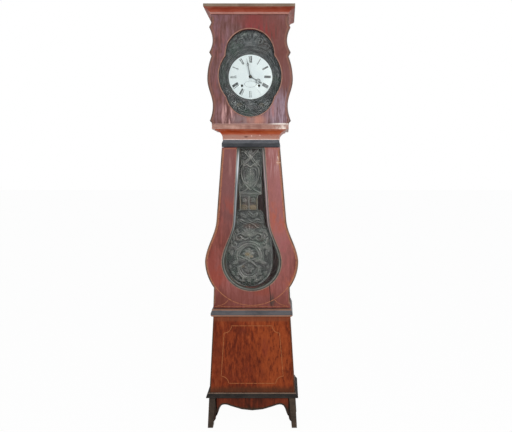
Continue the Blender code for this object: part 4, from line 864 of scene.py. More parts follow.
CRACK_X, CRACK_Z, CRACK_ASIDE, CRACK_LONG, CRACK_WAVE, CRACK_STEPS = 0.0990, 0.8440, 0.0107, 0.1330, 0.0016, 24
crack = [(CRACK_X + CRACK_WAVE * noise.noise(Vector((i * 0.7, 3.0, 0.0))) + CRACK_ASIDE * i / CRACK_STEPS,
          CRACK_Z - CRACK_LONG * i / CRACK_STEPS) for i in range(CRACK_STEPS + 1)]
painted("trunk_split", crack_look, "trunk_door", Y_TRUNK, [(crack, 0.0019)], rise=0.00045)
painted("trunk_scratch", bare_look, "trunk_door", Y_TRUNK, [
    ([(0.1420, 1.5205), (0.1490, 1.5196), (0.1560, 1.5202), (0.1630, 1.5194)], 0.0020),
    ([(0.1470, 1.5560), (0.1500, 1.5400), (0.1550, 1.5310)], 0.0018),
])


# Base panel and its painted frame, with corners cut in by quarter rounds
def base_frame(low=0.2620, high=0.6000, half=0.1775, lean=0.0200, cut=0.042):
    path = []
    for cx, z, turn in ((1, low, 180), (1, high, 270), (-1, high, 0), (-1, low, 90)):
        x = cx * (half - lean * (z - low) / (high - low))
        for a in [math.radians(turn - 90 * i / 12) for i in range(13)]:
            path.append((x + cut * math.cos(a), z + cut * math.sin(a)))
    return path


heights = [Z_BASE0 + (Z_BASE1 - Z_BASE0) * i / 20 for i in range(21)]
board("base_panel", [mirrored([(base_half(z), z) for z in heights])], flat_front(Y_BASE), BOARD, base_paint, "case",
      "base_front", edge=0.0028, strip=0.0085)
painted("base_lines", base_line, "case", Y_BASE, [(base_frame(), 0.0017)], closed=True)


# Mouldings
BEHIND = 0.0002
NECK_BACK = 0.0030
HOOD_HALF = 0.1900
CORNICE, CORNICE_BACK = 0.0485, 0.0514


def trunk_core(z):
    """Just behind the trunk door, round the trunk's sides."""
    return trunk_half(z) + FIT, Y_TRUNK + BOARD + BEHIND


def on_trunk(reach, z):
    return TRUNK_TOP + reach, Y_TRUNK + NECK_BACK - reach


CORNICE_ROWS = (  # share of the cornice's reach, height
    (0.392, 0.0), (0.392, 0.0045), (0.423, 0.0100), (0.515, 0.0160), (0.680, 0.0225), (0.866, 0.0260), (1.0, 0.0270))
moulding("cornice_run", "cornice", lambda z: (HOOD_HALF + FIT, Y_HOOD + BOARD + BEHIND),
         [(share * CORNICE, up) for share, up in CORNICE_ROWS],
         lambda reach, z: (HOOD_HALF + reach, cad_box[0][1] + CORNICE_BACK - reach), cornice_paint,
         lambda up, left: up < 0.0105, seed=1.0)
moulding("neck_cove_run", "neck_cove", trunk_core,
         [(0.0057, 0.0), (0.0057, 0.0150), (0.0068, 0.0190), (0.0085, 0.0255), (0.0125, 0.0325), (0.0190, 0.0395),
          (0.0280, 0.0460), (0.0370, 0.0495), (0.0407, 0.0500)],
         on_trunk, cove_paint, lambda up, left: max(0.0, min(1.0, (0.034 - up) / 0.012)), seed=2.0)
band_low, band_high = span("neck_band")
moulding("neck_band_run", "neck_band", trunk_core,
         [(0.0100, 0.0), (0.0100, 0.0185), (0.0085, 0.0225), (0.0040, band_high - band_low - 0.003)],
         on_trunk, neck_black, lambda up, left: up > 0.0195, seed=3.0)
moulding("waist_run", "waist_moulding", trunk_core,
         [(0.0060, 0.0), (0.0105, 0.0042), (0.0132, 0.0107), (0.0132, 0.0207), (0.0110, 0.0270), (0.0082, 0.0330),
          (0.0065, 0.0375)],
         lambda reach, z: (BASE_TOP + reach, Y_BASE - reach), waist_black,
         lambda up, left: up < 0.0110 or left < 0.005, seed=4.0)
moulding("base_run", "base_moulding", lambda z: (base_half(z) + FIT, Y_BASE - FIT),
         [(0.0160, 0.0), (0.0165, 0.0070), (0.0120, 0.0105), (0.0070, 0.0170), (0.0045, 0.0225)],
         lambda reach, z: (base_half(z) + reach, Y_BASE - reach), base_black,
         lambda up, left: left < 0.005, seed=5.0)

# Top board, apron, feet and sides
low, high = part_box("hood_top")
board("top_board", [[(low.x, low.y), (high.x, low.y), (high.x, high.y), (low.x, high.y)]],
      lambda a, b, t: (a, b, high.z - t), high.z - low.z, top_paint, "case", "hood_top", edge=0.0020)
APRON_EDGE = 0.0045
apron_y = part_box("apron")[0].y
edge_at = {}
for v in nodes["apron"].data.vertices:
    if v.co.y < apron_y + 0.0002:
        key = round(v.co.x, 4)
        edge_at[key] = min(v.co.z, edge_at.get(key, 9.0))
curve = [(x, edge_at[x] + APRON_EDGE) for x in sorted(edge_at)][1:-1]
painted("apron_edge_line", apron_line, "case", apron_y, [(curve, APRON_EDGE)])
coat(apron_paint, "apron")
coat(floor_paint, "hood_floor")
for side in ("left", "right"):
    coat(foot_black, "foot_" + side)
    coat(side_paint, "hood_side_" + side, "trunk_side_" + side, "base_side_" + side)

# Glass, pine, metals and the weights' lines
glass = Look("old_glass", roughness=0.0, ior=1.18, transmission_weight=1.0)
glass.dress((0.97, 0.985, 0.98, 1.0))
glass.surface(glass.rays("Shadow", "Diffuse"), glass.shader,
              glass.node("BsdfTransparent", {"Color": (0.95, 0.97, 0.96, 1.0)}))
coat(glass.made, "hood_glass", "trunk_glass")

pine = Look("aged_pine")
grain = pine.noise(16.0, (1.0, 1.0, 0.05), 5.0, 0.6, 1.2)
plank = pine.ramp(pine.band(grain, 0.3, 0.7), [
    (0.0, (118, 84, 54)), (0.45, (158, 122, 84)), (0.6, (172, 136, 96)), (1.0, (138, 102, 68))])
# The back board's face towards the inside of the case is painted pale: painted light that brightens the shade behind
# the pendulum
facing = pine.axes(pine.node("NewGeometry").outputs["Normal"])[1]
plank = pine.mix(pine.band(facing, -0.4, -0.6), plank, (224, 196, 196))
for x in (-0.056, 0.061):
    plank = pine.mix(pine.times(pine.spot(x, 1.2, 0.0014, 9.0, 0.4), 0.85), plank, (40, 30, 22))
for x, z in ((0.010, 1.52), (-0.090, 0.86), (0.085, 0.52), (-0.030, 2.06)):
    plank = pine.mix(pine.spot(x, z, 0.010, 0.017), plank, (92, 58, 34))
coat(pine.dress(plank, pine.band(grain, 0.3, 0.7, 0.55, 0.8), grain, 0.0008), "back_board")

cord = Look("gut_line")
twist = cord.noise(900.0, (1.0, 1.0, 0.35), 2.0)
cord.dress(cord.mix(twist, (120, 98, 66), (176, 150, 108)), 0.65, twist, 0.0003)
iron = metal("iron", (66, 60, 56), (96, 90, 86), (0.42, 0.7), 0.8, 40.0, (92, 58, 40))
steel = metal("blued_steel", (38, 40, 44), (58, 62, 66), (0.28, 0.45), 0.7, 60.0)
by_slot = {
    "iron": iron, "blued_steel": steel, "gut_line": cord.made,
    "brass": metal("brass", (150, 118, 62), (196, 164, 96), (0.22, 0.45), 1.0, 26.0, (104, 84, 52)),
    "bell_metal": metal("bell_metal", (168, 140, 92), (204, 178, 126), (0.2, 0.36), 1.0, 20.0),
}
for name, node in nodes.items():
    kind = node.material_slots[0].material.name.split(".")[0]
    if kind in by_slot:
        coat(by_slot[kind], name)
dull_brass = metal("dull_brass", (30, 29, 28), (50, 46, 40), (0.4, 0.6), 0.8, 40.0)
coat(dull_brass, "going_drum", "strike_drum", "cannon_pinion")
LAY = 0.016
STRAND = 0.54


def weight_line(side, around=8, facets=6):
    """A line of two twisted strands, which moves with its weight."""
    low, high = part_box(side + "_line")
    middle = (low + high) / 2
    long, radius = high.z - low.z, (high.x - low.x) / 2
    steps = around * round(long / LAY)
    made = Build()
    for start in (0.0, math.pi):
        rings = []
        for i in range(steps + 1):
            reach, turn = radius * (1 - STRAND), start + 2 * math.pi * i / around
            x, y = middle.x + reach * math.cos(turn), middle.y + reach * math.sin(turn)
            rings.append(made.ring([(*p, low.z + long * i / steps) for p in disc(radius * STRAND, facets, x, y)]))
        made.faces.append(tuple(rings[0]))
        for a, b in zip(rings, rings[1:]):
            made.wall(a, b)
        made.faces.append(tuple(rings[-1]))
    strand = made.done(side + "_twisted_line", cord.made, side + "_weight", (side + "_line",), 60.0)
    (long - max(joints[side + "_weight_drop"]["range_m"])) / long
    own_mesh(strand)


for side in ("going", "strike"):
    weight_line(side)


# Pressed sheet ornament
class Relief:
    """Heights of pressed ornament over places on the front, with its shares of gilding and red ground.

    Each form is laid on the right and, unless both is off, on the left as well.
    """

    def __init__(self, x, z):
        self.x, self.z = x, z
        self.h, self.gold, self.red = (np.zeros_like(x) for _ in range(3))

    def lift(self, shape):
        self.h = np.maximum(self.h, shape)

    def off(self, x, z, wide, tall):
        return ((self.x - x) / wide) ** 2 + ((self.z - z) / tall) ** 2

    def along(self, path):
        near = np.full_like(self.x, 9.0)
        for (ax, az), (bx, bz) in zip(path, path[1:]):
            dx, dz = bx - ax, bz - az
            t = np.clip(((self.x - ax) * dx + (self.z - az) * dz) / (dx * dx + dz * dz), 0, 1)
            near = np.minimum(near, np.hypot(self.x - ax - t * dx, self.z - az - t * dz))
        return near

    def ridges(self, wide, high, *paths, both=True):
        for path in paths:
            for one in [path, [(-x, z) for x, z in path]] if both else [path]:
                self.lift(high * np.sqrt(np.clip(1 - (self.along(one) / wide) ** 2, 0, 1)))

    def dome(self, x, z, wide, tall, high, both=True):
        for side in (x, -x) if both else (x,):
            self.lift(high * np.sqrt(np.clip(1 - self.off(side, z, wide, tall), 0, 1)))

    def beads(self, path, step, radius, high):
        left = 0.0
        for (ax, az), (bx, bz) in zip(path, path[1:]):
            run = math.hypot(bx - ax, bz - az)
            while left < run:
                self.dome(ax + (bx - ax) * left / run, az + (bz - az) * left / run, radius, radius, high)
                left += step
            left -= run

    def leaves(self, wide, high, lobes, *places, both=True):
        """Lobed leaves at places of (x, z, turn, length)."""
        for x, z, turn, long in places:
            a = math.radians(turn)
            for sign in (1, -1) if both else (1,):
                px, pz = sign * self.x - x, self.z - z
                u = (px * math.cos(a) + pz * math.sin(a)) / long
                v = pz * math.cos(a) - px * math.sin(a)
                at = np.clip(u, 0.001, 0.999)
                sweep = lobes * np.pi * (at - 0.4 * np.abs(v) / wide)
                half = wide * np.sin(np.pi * at ** 0.75) * (0.7 + 0.3 * np.abs(np.cos(sweep)))
                swell = np.sqrt(np.clip(1 - (v / np.maximum(half, 1e-5)) ** 2, 0, 1))
                rib = 0.72 + 0.28 * np.abs(np.sin(sweep)) - 0.35 * np.exp(-(v / (0.15 * wide)) ** 2)
                self.lift(np.where((u > 0) & (u < 1), high * swell * rib, 0.0))

    def fan(self, z, first, step, count, long, less, wide, high):
        """Leaves that spread to both sides from one in the middle."""
        self.leaves(wide, high, 3, *((0.0, z, first + step * i, long - less * i) for i in range(count)))

    def rosette(self, x, z, radius, petals, high, both=True, turn=0.0):
        for side in (x, -x) if both else (x,):
            px, pz = self.x - side, self.z - z
            reach, a = np.hypot(px, pz), np.arctan2(pz, px) + turn
            edge = radius * (0.66 + 0.34 * np.abs(np.cos(petals * a / 2)))
            bowl = np.clip(reach / edge, 0, 1)
            self.lift(np.where(bowl < 1, high * (0.45 + 0.55 * np.sin(np.pi * bowl ** 1.4)), 0.0))
            self.dome(side, z, radius * 0.26, radius * 0.26, high * 1.15, both=False)

    def gild(self, x, z, wide, tall, share, both=True):
        for side in (x, -x) if both else (x,):
            self.gold = np.maximum(self.gold, share * np.clip(1.6 - 1.6 * self.off(side, z, wide, tall), 0, 1))

    def stain(self, x, z, wide, tall, share):
        self.red = np.maximum(self.red, share * np.clip(1.4 - 1.4 * self.off(x, z, wide, tall), 0, 1))


def curl(x, z, outer, inner, start, sweep, count=36):
    """Points of a scroll that winds from its outer to its inner radius."""
    out = []
    for u in [i / count for i in range(count + 1)]:
        a = math.radians(start + sweep * u)
        reach = outer + (inner - outer) * u
        out.append((x + reach * math.cos(a), z + reach * math.sin(a)))
    return out


def bow(z, reach, sweep, up=1, count=30):
    """An arc from straight above or below a middle round to the right."""
    turns = [math.radians(sweep * i / count) for i in range(count + 1)]
    return [(reach * math.sin(a), z + up * reach * math.cos(a)) for a in turns]


def grit(x, z, scale, layer):
    """Fine unevenness over a grid of places."""
    return np.array([[noise.noise(Vector((a * scale, b * scale, layer))) for a, b in zip(*row)] for row in zip(x, z)])


def pressed_look(name, deep, mid, high, gold, red, mould, dusk=(), shine=0.45, rough=(0.56, 0.34), dent=0.0002):
    """Old pressed metal: dark in its hollows and light on its ridges, partly patina and partly painted shade and
    highlight, with mould, gilding, red ground and dusky places.
    """
    look = Look(name, metallic=shine)
    cloud = look.noise(28.0, (1, 1, 1), 5.0, 0.62, 0.5)
    fine = look.noise(310.0, (1, 1, 1), 2.0)
    height = look.stored("lift")
    # Darker in the hollows and lighter on the ridges: patina, and partly painted shade and highlight that bring out the
    # relief
    colour = look.ramp(look.plus(height, look.band(cloud, 0.3, 0.7, -0.17, 0.17)),
                       [(0.04, deep), (0.42, mid), (0.95, high)])
    for scale, shift, start, growth in ((12.0, (4, 4, 4), 0.5, (58, 80, 66)), (15.0, (9, 2, 7), 0.52, (84, 70, 74))):
        patch = look.band(look.noise(scale, (1, 1, 1), 3.0, 0.6, 0.0, shift), start, 0.66, 0.0, mould)
        colour = look.mix(patch, colour, look.mix(0.5, colour, growth))
    for place, share in dusk:
        colour = look.mix(look.times(look.spot(*place), share), colour, deep)
    colour = look.mix(look.stored("red"), colour, look.mix(height, red, colour))
    gilded = look.times(look.stored("gold"), look.band(look.plus(cloud, fine), 0.7, 1.1))
    return look.dress(look.mix(gilded, colour, gold), look.band(cloud, 0.3, 0.7, *rough), fine, dent)


def pressed(name, front, back_y, closed, stored, look, body, node):
    """A shell: a grid of front places, closed round the dial or not, with its borders carried to the back."""
    rows, cols = front.shape[:2]
    made = Build()
    made.points = [tuple(p) for p in front.reshape(-1, 3)]
    for key, value in stored.items():
        made.values[key] = list(np.clip(value, 0, 1).reshape(-1))
    grid = np.arange(rows * cols).reshape(rows, cols).tolist()
    for a, b in zip(grid, grid[1:]):
        made.wall(a, b, closed)
    if closed:
        borders = [grid[0], grid[-1]]
    else:
        sides = [row[-1] for row in grid[1:]], [row[0] for row in grid[-2:0:-1]]
        borders = [grid[0] + sides[0] + grid[-1][-2::-1] + sides[1]]
    backs = []
    for border in borders:
        places = [(made.points[i][0], back_y, made.points[i][2]) for i in border]
        backs.append(made.ring(places, **{key: 0.0 for key in stored}))
        made.wall(border, backs[-1])
    if closed:
        made.wall(*backs)
    else:
        made.faces.append(tuple(backs[0]))
    return made.done(name, look, body, (node,), 60.0)


# Pendulum sheet
pendulum_metal = pressed_look(
    "pendulum_metal", (54, 55, 54), (87, 87, 84), (128, 126, 120), (122, 98, 62), (84, 62, 54), 0.45,
    dusk=[((-0.02, 1.200, 0.14, 0.055), 0.5), ((-0.02, 1.285, 0.10, 0.045), 0.3)])
LEAN = math.radians(0.88)
SHEET_R = 0.138
SHEET_T, SHEET_SWELL = 0.003, 0.006
SHEET_TOP = Z_TRUNK0 + 0.943
Y_SHEET = -0.0465
Z_BOB = Z_PEAR - 0.0116
SHOULDER = ((0.0010, 0.0725), (0.0070, 0.1425), (0.0160, 0.1875), (0.0380, 0.2045))
NECK = (
    (0.0900, 0.2105), (0.0895, 0.2515), (0.0850, 0.2775), (0.0770, 0.2945), (0.0535, 0.3015), (0.0535, 0.3835),
    (0.0640, 0.3885), (0.0670, 0.3935),
)
NECK_ASIDE = 0.0095
bob_x = (Z_BOB - Z_HANG) * math.sin(LEAN)
bob_z = Z_HANG + (Z_BOB - Z_HANG) * math.cos(LEAN)


def plumb(x, z, y):
    """Places points of the pendulum sheet, which hangs straight down, with its top length set a little to the right."""
    aside = NECK_ASIDE * max(0.0, min(1.0, (z - Z_BOB - 0.378) / 0.012))
    return bob_x + x + aside, y, bob_z + z - Z_BOB


turns = [-math.pi / 2 + math.pi / 2 * i / 60 for i in range(3, 61)]
sheet_rows = [(SHEET_R * math.cos(a), Z_BOB + SHEET_R * math.sin(a)) for a in turns]
sheet_rows += [(SHEET_R - inside, Z_BOB + up) for inside, up in SHOULDER]
sheet_rows += [(half, Z_BOB + up) for half, up in NECK]
sheet_rows.append((NECK[-1][0], SHEET_TOP))
heights = np.linspace(sheet_rows[0][1], SHEET_TOP, 400)
halves = np.interp(heights, [z for _, z in sheet_rows], [h for h, _ in sheet_rows])
across = np.linspace(-1, 1, 121)
sheet_x = halves[:, None] * across[None, :]
sheet_z = np.repeat(heights[:, None], len(across), 1)
work = Relief(sheet_x, sheet_z)
# Crossed straps under the neck
for x in (-0.007, 0.007):
    work.ridges(0.0042, 0.0034, [(x - 0.050, 1.608), (x + 0.003, 1.549), (x + 0.046, 1.500)],
                [(x + 0.056, 1.608), (x + 0.003, 1.549), (x - 0.047, 1.505)], both=False)
work.rosette(0.003, 1.549, 0.013, 6, 0.0046, both=False)
work.leaves(0.010, 0.0030, 3, (0.0, 1.610, 90, 0.028), (0.034, 1.580, 10, 0.028), (0.034, 1.530, -10, 0.028))
work.leaves(0.014, 0.0034, 4, (0.003, 1.566, 90, 0.040), both=False)
# Heart-shaped frame round a fern
heart = [(0.0, 1.497), (0.018, 1.508), (0.036, 1.502), (0.048, 1.484), (0.0505, 1.460), (0.046, 1.432),
         (0.033, 1.404), (0.014, 1.380), (0.0, 1.368)]
work.ridges(0.0042, 0.0036, heart)
work.ridges(0.0026, 0.0026, [(x * 0.74, 1.4345 + (z - 1.4345) * 0.74) for x, z in heart])
work.ridges(0.0028, 0.0036, [(0.0, 1.380), (0.0, 1.484)])
work.leaves(0.0088, 0.0034, 3, *((0.001, 1.386 + 0.0155 * i, 40, long) for i, long in enumerate(
    (0.020, 0.029, 0.035, 0.036, 0.032, 0.022))))
work.ridges(0.0030, 0.0030, curl(0.044, 1.520, 0.012, 0.003, 250, -430), curl(0.049, 1.392, 0.013, 0.003, 120, 430))
work.leaves(0.009, 0.0026, 4, (0.050, 1.376, 68, 0.040))
# Crossing bands and the bar under the heart
work.ridges(0.0036, 0.0036, [(0.056, 1.352), (0.030, 1.362), (0.0, 1.388), (-0.034, 1.414)])
work.ridges(0.0042, 0.0036, [(-0.058, 1.3476), (0.058, 1.3476)], both=False)
work.ridges(0.0018, 0.0024, [(-0.058, 1.3400), (0.058, 1.3400)], both=False)
# Gilded panel pair
work.ridges(0.0030, 0.0030, [(0.0035, 1.332), (0.0465, 1.332), (0.0465, 1.2555), (0.0035, 1.2555), (0.0035, 1.332)])
work.rosette(0.025, 1.308, 0.0150, 5, 0.0034)
work.leaves(0.0150, 0.0036, 4, (0.006, 1.274, -14, 0.040))
work.ridges(0.0032, 0.0034, [(0.0, 1.332), (0.0, 1.2555)])
work.gild(0.026, 1.270, 0.027, 0.018, 0.6)
work.gild(0.0465, 1.296, 0.004, 0.034, 0.6)
work.stain(0.0, 1.298, 0.050, 0.036, 0.4)
# Chevrons, garland and shell
for z in (1.246, 1.232):
    work.ridges(0.0030, 0.0032, [(0.0, z), (0.020, z - 0.020), (0.046, z - 0.010)])
work.leaves(0.013, 0.0034, 4, (0.014, 1.210, 30, 0.046))
work.leaves(0.011, 0.0030, 4, (0.030, 1.196, 6, 0.034))
work.ridges(0.0034, 0.0038, [(0.0, 1.196), (0.014, 1.188), (0.030, 1.190), (0.044, 1.201), (0.060, 1.196)])
work.ridges(0.0026, 0.0030, [(0.0, 1.184), (0.016, 1.176), (0.034, 1.180), (0.050, 1.188), (0.066, 1.180)])
work.fan(1.106, 90, 20, 5, 0.064, 0.004, 0.0095, 0.0040)
work.dome(0.0, 1.110, 0.013, 0.010, 0.0056)
work.stain(0.02, 1.165, 0.060, 0.020, 0.6)
# Scrolls beside the ring
work.ridges(0.0038, 0.0042, curl(0.052, 1.098, 0.026, 0.005, 150, -470), curl(0.082, 1.058, 0.019, 0.004, 60, -420))
work.ridges(0.0038, 0.0040, [(0.004, 1.096), (0.020, 1.086), (0.036, 1.092), (0.050, 1.106)])
work.ridges(0.0026, 0.0034, [(0.060, 1.150), (0.044, 1.156), (0.032, 1.168), (0.016, 1.172)])
work.leaves(0.0115, 0.0036, 4, (0.062, 1.122, 70, 0.036), (0.074, 1.086, 40, 0.034), (0.096, 1.030, 60, 0.038),
            (0.100, 0.992, 96, 0.036), (0.062, 1.030, 20, 0.036))
work.stain(-0.066, 1.092, 0.022, 0.016, 0.4)
work.stain(0.070, 1.088, 0.022, 0.016, 0.3)
# Wreath ring with its flower
for reach, wide, high in ((0.082, 0.0030, 0.0034), (0.070, 0.0038, 0.0046), (0.056, 0.0030, 0.0036)):
    work.ridges(wide, high, bow(0.993, reach, 112))
work.beads(bow(0.993, 0.063, 104), 0.0082, 0.0030, 0.0040)
work.rosette(0.0, 1.004, 0.034, 8, 0.0036)
work.rosette(0.0, 1.004, 0.019, 6, 0.0042, turn=0.5)
work.gild(-0.008, 1.004, 0.017, 0.012, 0.75, both=False)
work.gild(0.014, 0.992, 0.012, 0.008, 0.6, both=False)
# Crossing stems and the bowl
work.ridges(0.0038, 0.0037, [(-0.078, 1.000), (-0.050, 0.989), (-0.012, 0.974), (0.022, 0.953), (0.040, 0.935)],
            both=False)
work.ridges(0.0034, 0.0034, [(0.078, 0.990), (0.050, 0.982), (0.018, 0.970), (-0.018, 0.953), (-0.040, 0.935)],
            both=False)
work.leaves(0.0125, 0.0040, 4, (0.026, 0.966, 8, 0.048), (0.060, 0.962, -20, 0.044), (0.044, 0.938, -52, 0.040))
for reach, wide, high in ((0.066, 0.0030, 0.0036), (0.056, 0.0034, 0.0046), (0.044, 0.0028, 0.0036)):
    work.ridges(wide, high, bow(0.926, reach, 92, up=-1))
work.rosette(0.0, 0.918, 0.028, 7, 0.0028)
work.gild(-0.034, 0.934, 0.011, 0.008, 0.35, both=False)
# Leaves and scrolls that fill the shoulders
work.leaves(0.0125, 0.0036, 4, (0.100, 1.064, 74, 0.046), (0.112, 1.010, 84, 0.044), (0.104, 1.108, 98, 0.040),
            (0.072, 1.132, 10, 0.040), (0.060, 1.180, 24, 0.034), (0.082, 1.150, 60, 0.026))
work.ridges(0.0032, 0.0036, curl(0.092, 1.112, 0.018, 0.004, 200, -430), curl(0.072, 1.212, 0.013, 0.003, 250, 420))
# Foot of the sheet
work.rosette(0.0, 0.8520, 0.014, 6, 0.0036)
work.leaves(0.0120, 0.0036, 4, (0.026, 0.846, 14, 0.036), (0.056, 0.856, 36, 0.036), (0.084, 0.880, 54, 0.036),
            (0.104, 0.914, 72, 0.036))
for x, z in ((0.034, 0.868), (0.064, 0.890)):
    work.rosette(x, z, 0.012, 5, 0.0034)
# Rolled rim and its row of beads
work.ridges(0.0034, 0.0036, [(h - 0.0040, z) for h, z in sheet_rows[2:]])
work.beads([(h - 0.0105, z) for h, z in sheet_rows[6:62]], 0.0068, 0.0026, 0.0034)

soft = work.h + 0.00035 * grit(sheet_x, sheet_z, 170, 1.0) * (work.h < 0.0012)
for _ in range(3):
    around = soft[:-2, 1:-1] + soft[2:, 1:-1] + soft[1:-1, :-2] + soft[1:-1, 2:]
    soft[1:-1, 1:-1] = (soft[1:-1, 1:-1] * 4 + around) / 8
belly = np.clip(SHEET_SWELL * (1 - (sheet_x ** 2 + (sheet_z - Z_BOB) ** 2) / SHEET_R ** 2), 0, None)
belly = np.where(sheet_z > Z_BOB + 0.16, 0.0, belly)
front = np.array([[plumb(x, z, Y_SHEET - SHEET_T - b - s) for x, z, b, s in zip(*row)]
                  for row in zip(sheet_x, sheet_z, belly, soft)])
pressed("pendulum_relief", front, Y_SHEET, False, {"lift": soft / 0.0052, "gold": work.gold, "red": work.red},
        pendulum_metal, "pendulum", "pendulum_sheet")

# Dial surround, over places given from the dial's middle
surround_metal = pressed_look(
    "surround_metal", (47, 50, 50), (77, 79, 81), (118, 119, 118), (94, 84, 62), (74, 58, 52), 0.65,
    shine=0.2, rough=(0.8, 0.62), dent=0.00006)
SURROUND_IN, SURROUND_LIP, SURROUND_SPAN = 0.1125, 0.1190, 0.1235
PAST_HOLE, SURROUND_SWELL = 0.006, 0.010


def surround_reach(a):
    """How far the surround reaches in one direction, a little past the door's opening."""
    gaps = [(up * math.sin(a), (radius + PAST_HOLE) ** 2 - (up * math.cos(a)) ** 2) for up, radius in HOOD_DISCS]
    return max(along + math.sqrt(gap) for along, gap in gaps if gap > 0)


turns = np.linspace(0, 2 * math.pi, 360, endpoint=False)
reach_out = np.array([surround_reach(a) for a in turns])[None, :]
steps = np.concatenate([[0.0, 0.5], np.linspace(1.0, 44.0, 44)])[:, None]
radii = np.where(steps < 1.0, SURROUND_IN + 2 * (SURROUND_LIP - SURROUND_IN) * steps,
                 SURROUND_LIP + (reach_out - SURROUND_LIP) * (steps - 1) / 43)
sur_x, sur_up = radii * np.cos(turns)[None, :], radii * np.sin(turns)[None, :]
work = Relief(sur_x, sur_up)
for reach, wide, high in ((0.1262, 0.0030, 0.0040), (0.1330, 0.0022, 0.0024)):
    work.ridges(wide, high, bow(0.0, reach, 180, count=60))
for reach, sweep, wide in ((0.150, 62, 0.0032), (0.158, 56, 0.0022), (0.166, 60, 0.0026)):
    work.ridges(wide, 0.0036, bow(0.0, reach, sweep, count=sweep // 2))
# Crest: a palmette with leaf sprays and scrolls
work.fan(0.172, 90, 27, 4, 0.058, 0.005, 0.0105, 0.0026)
work.rosette(0.0, 0.176, 0.015, 6, 0.0032)
work.ridges(0.0034, 0.0042, curl(0.052, 0.186, 0.022, 0.004, 200, -440), curl(0.088, 0.160, 0.018, 0.004, 120, -420),
            curl(0.040, 0.222, 0.013, 0.003, 260, 420))
work.leaves(0.0125, 0.0040, 4, (0.070, 0.200, 10, 0.040), (0.100, 0.172, -30, 0.040), (0.114, 0.132, -60, 0.044),
            (0.096, 0.130, 40, 0.036), (0.060, 0.158, -4, 0.036), (0.022, 0.214, 60, 0.028))
# Cheeks: a climbing stem with leaves
work.ridges(0.0030, 0.0026, [(0.146, -0.086), (0.151, -0.048), (0.149, -0.010), (0.152, 0.030), (0.148, 0.068),
                             (0.136, 0.104)])
work.leaves(0.0110, 0.0026, 4, (0.151, -0.074, 58, 0.034), (0.149, -0.040, 124, 0.034), (0.151, -0.004, 58, 0.034),
            (0.149, 0.030, 120, 0.034), (0.150, 0.062, 70, 0.034), (0.140, -0.096, 120, 0.034))
# Foot: a shell between two scrolls
work.fan(-0.142, -90, 28, 4, 0.050, 0.003, 0.0105, 0.0028)
work.dome(0.0, -0.146, 0.014, 0.010, 0.0036)
work.ridges(0.0036, 0.0044, curl(0.050, -0.164, 0.024, 0.005, 140, 460), curl(0.090, -0.136, 0.018, 0.004, 230, 430))
work.ridges(0.0032, 0.0040, [(0.060, -0.188), (0.030, -0.198), (0.0, -0.202)])
work.leaves(0.0120, 0.0040, 4, (0.074, -0.176, 30, 0.036), (0.100, -0.152, 50, 0.036), (0.118, -0.124, 62, 0.036),
            (0.070, -0.142, -10, 0.030))
work.gild(0.060, -0.150, 0.020, 0.014, 0.35)
work.stain(0.08, 0.16, 0.05, 0.05, 0.35)

sur_y, sur_z = Y_DIAL + FIT, Z_DIAL + sur_up
plain_edge = np.clip((reach_out - radii - 0.006) / 0.012, 0, 1) * np.clip((radii - 0.1225) / 0.002, 0, 1)
lift = (work.h + 0.0006 * grit(sur_x, sur_z, 150, 5.0) * (work.h < 0.0012)) * plain_edge
part_out = np.clip((radii - SURROUND_SPAN) / (reach_out - SURROUND_SPAN), 0, 1)
belly = SURROUND_SWELL * np.sin(np.pi / 2 * np.clip(part_out * 1.3, 0, 1)) * np.clip((1 - part_out) / 0.05, 0.6, 1)
# A base lift everywhere and more in the outer band: painted light that takes away the shade the door's opening casts on
# the surround
light = 0.10 + lift / 0.0062 + 0.42 * np.clip((part_out - 0.72) / 0.28, 0, 1)
pressed("surround_relief", np.stack([sur_x, sur_y - belly - lift, sur_z], 2), sur_y + 0.003, True,
        {"lift": light, "gold": work.gold, "red": work.red}, surround_metal, "case", "dial_surround")

PEG_R = 0.003
pegs = Build()
for x in (-0.118, 0.118):
    for up in (-0.130, 0.080):
        near, away = (pegs.ring([(px, y, pz) for px, pz in disc(PEG_R, 12, x, Z_DIAL + up)])
                      for y in (sur_y + 0.0025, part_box("dial_surround")[1].y))
        pegs.wall(near, away)
        pegs.faces += [tuple(near), tuple(away)]
pegs.done("surround_pegs", iron, "case", (), 30.0)

# Dial
DIAL_R = (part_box("dial")[1].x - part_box("dial")[0].x) / 2 - 0.0016
DIAL_T = 0.003
DIAL_DOME = 0.006
WIND_X, WIND_DROP = 0.0466, 0.047
PIPE_HOLE, WIND_HOLE, HOLE_FLARE = 0.0065, 0.0070, 1.22
HOLE_LIP, RIM_LIP = 0.0010, 0.0016


def dial_y(x, z):
    """The front of the domed enamel."""
    return Y_DIAL - DIAL_T - DIAL_DOME * (1 - (x * x + (z - Z_DIAL) ** 2) / DIAL_R ** 2)


enamel = Look("enamel", coat_weight=0.4, coat_roughness=0.06)
haze = enamel.noise(9.0, (1, 1, 1), 4.0, 0.6)
white = enamel.mix(enamel.band(haze, 0.3, 0.7), (236, 243, 246), (244, 249, 250))
specks = enamel.band(enamel.noise(160.0, (1, 1, 1), 3.0, 0.6), 0.70, 0.80, 0.0, 0.5)
enamel.dress(enamel.mix(specks, white, (196, 194, 186)), enamel.band(haze, 0.3, 0.7, 0.16, 0.28), haze, 0.0003)
ink = Look("dial_black", roughness=0.35)
kept = ink.band(ink.noise(120.0, (1, 1, 1), 4.0, 0.65), 0.32, 0.62, 0.84, 1.08)
ink.dress(ink.mix(ink.times(ink.stored("fade"), kept), (226, 232, 234), (17, 20, 25)))

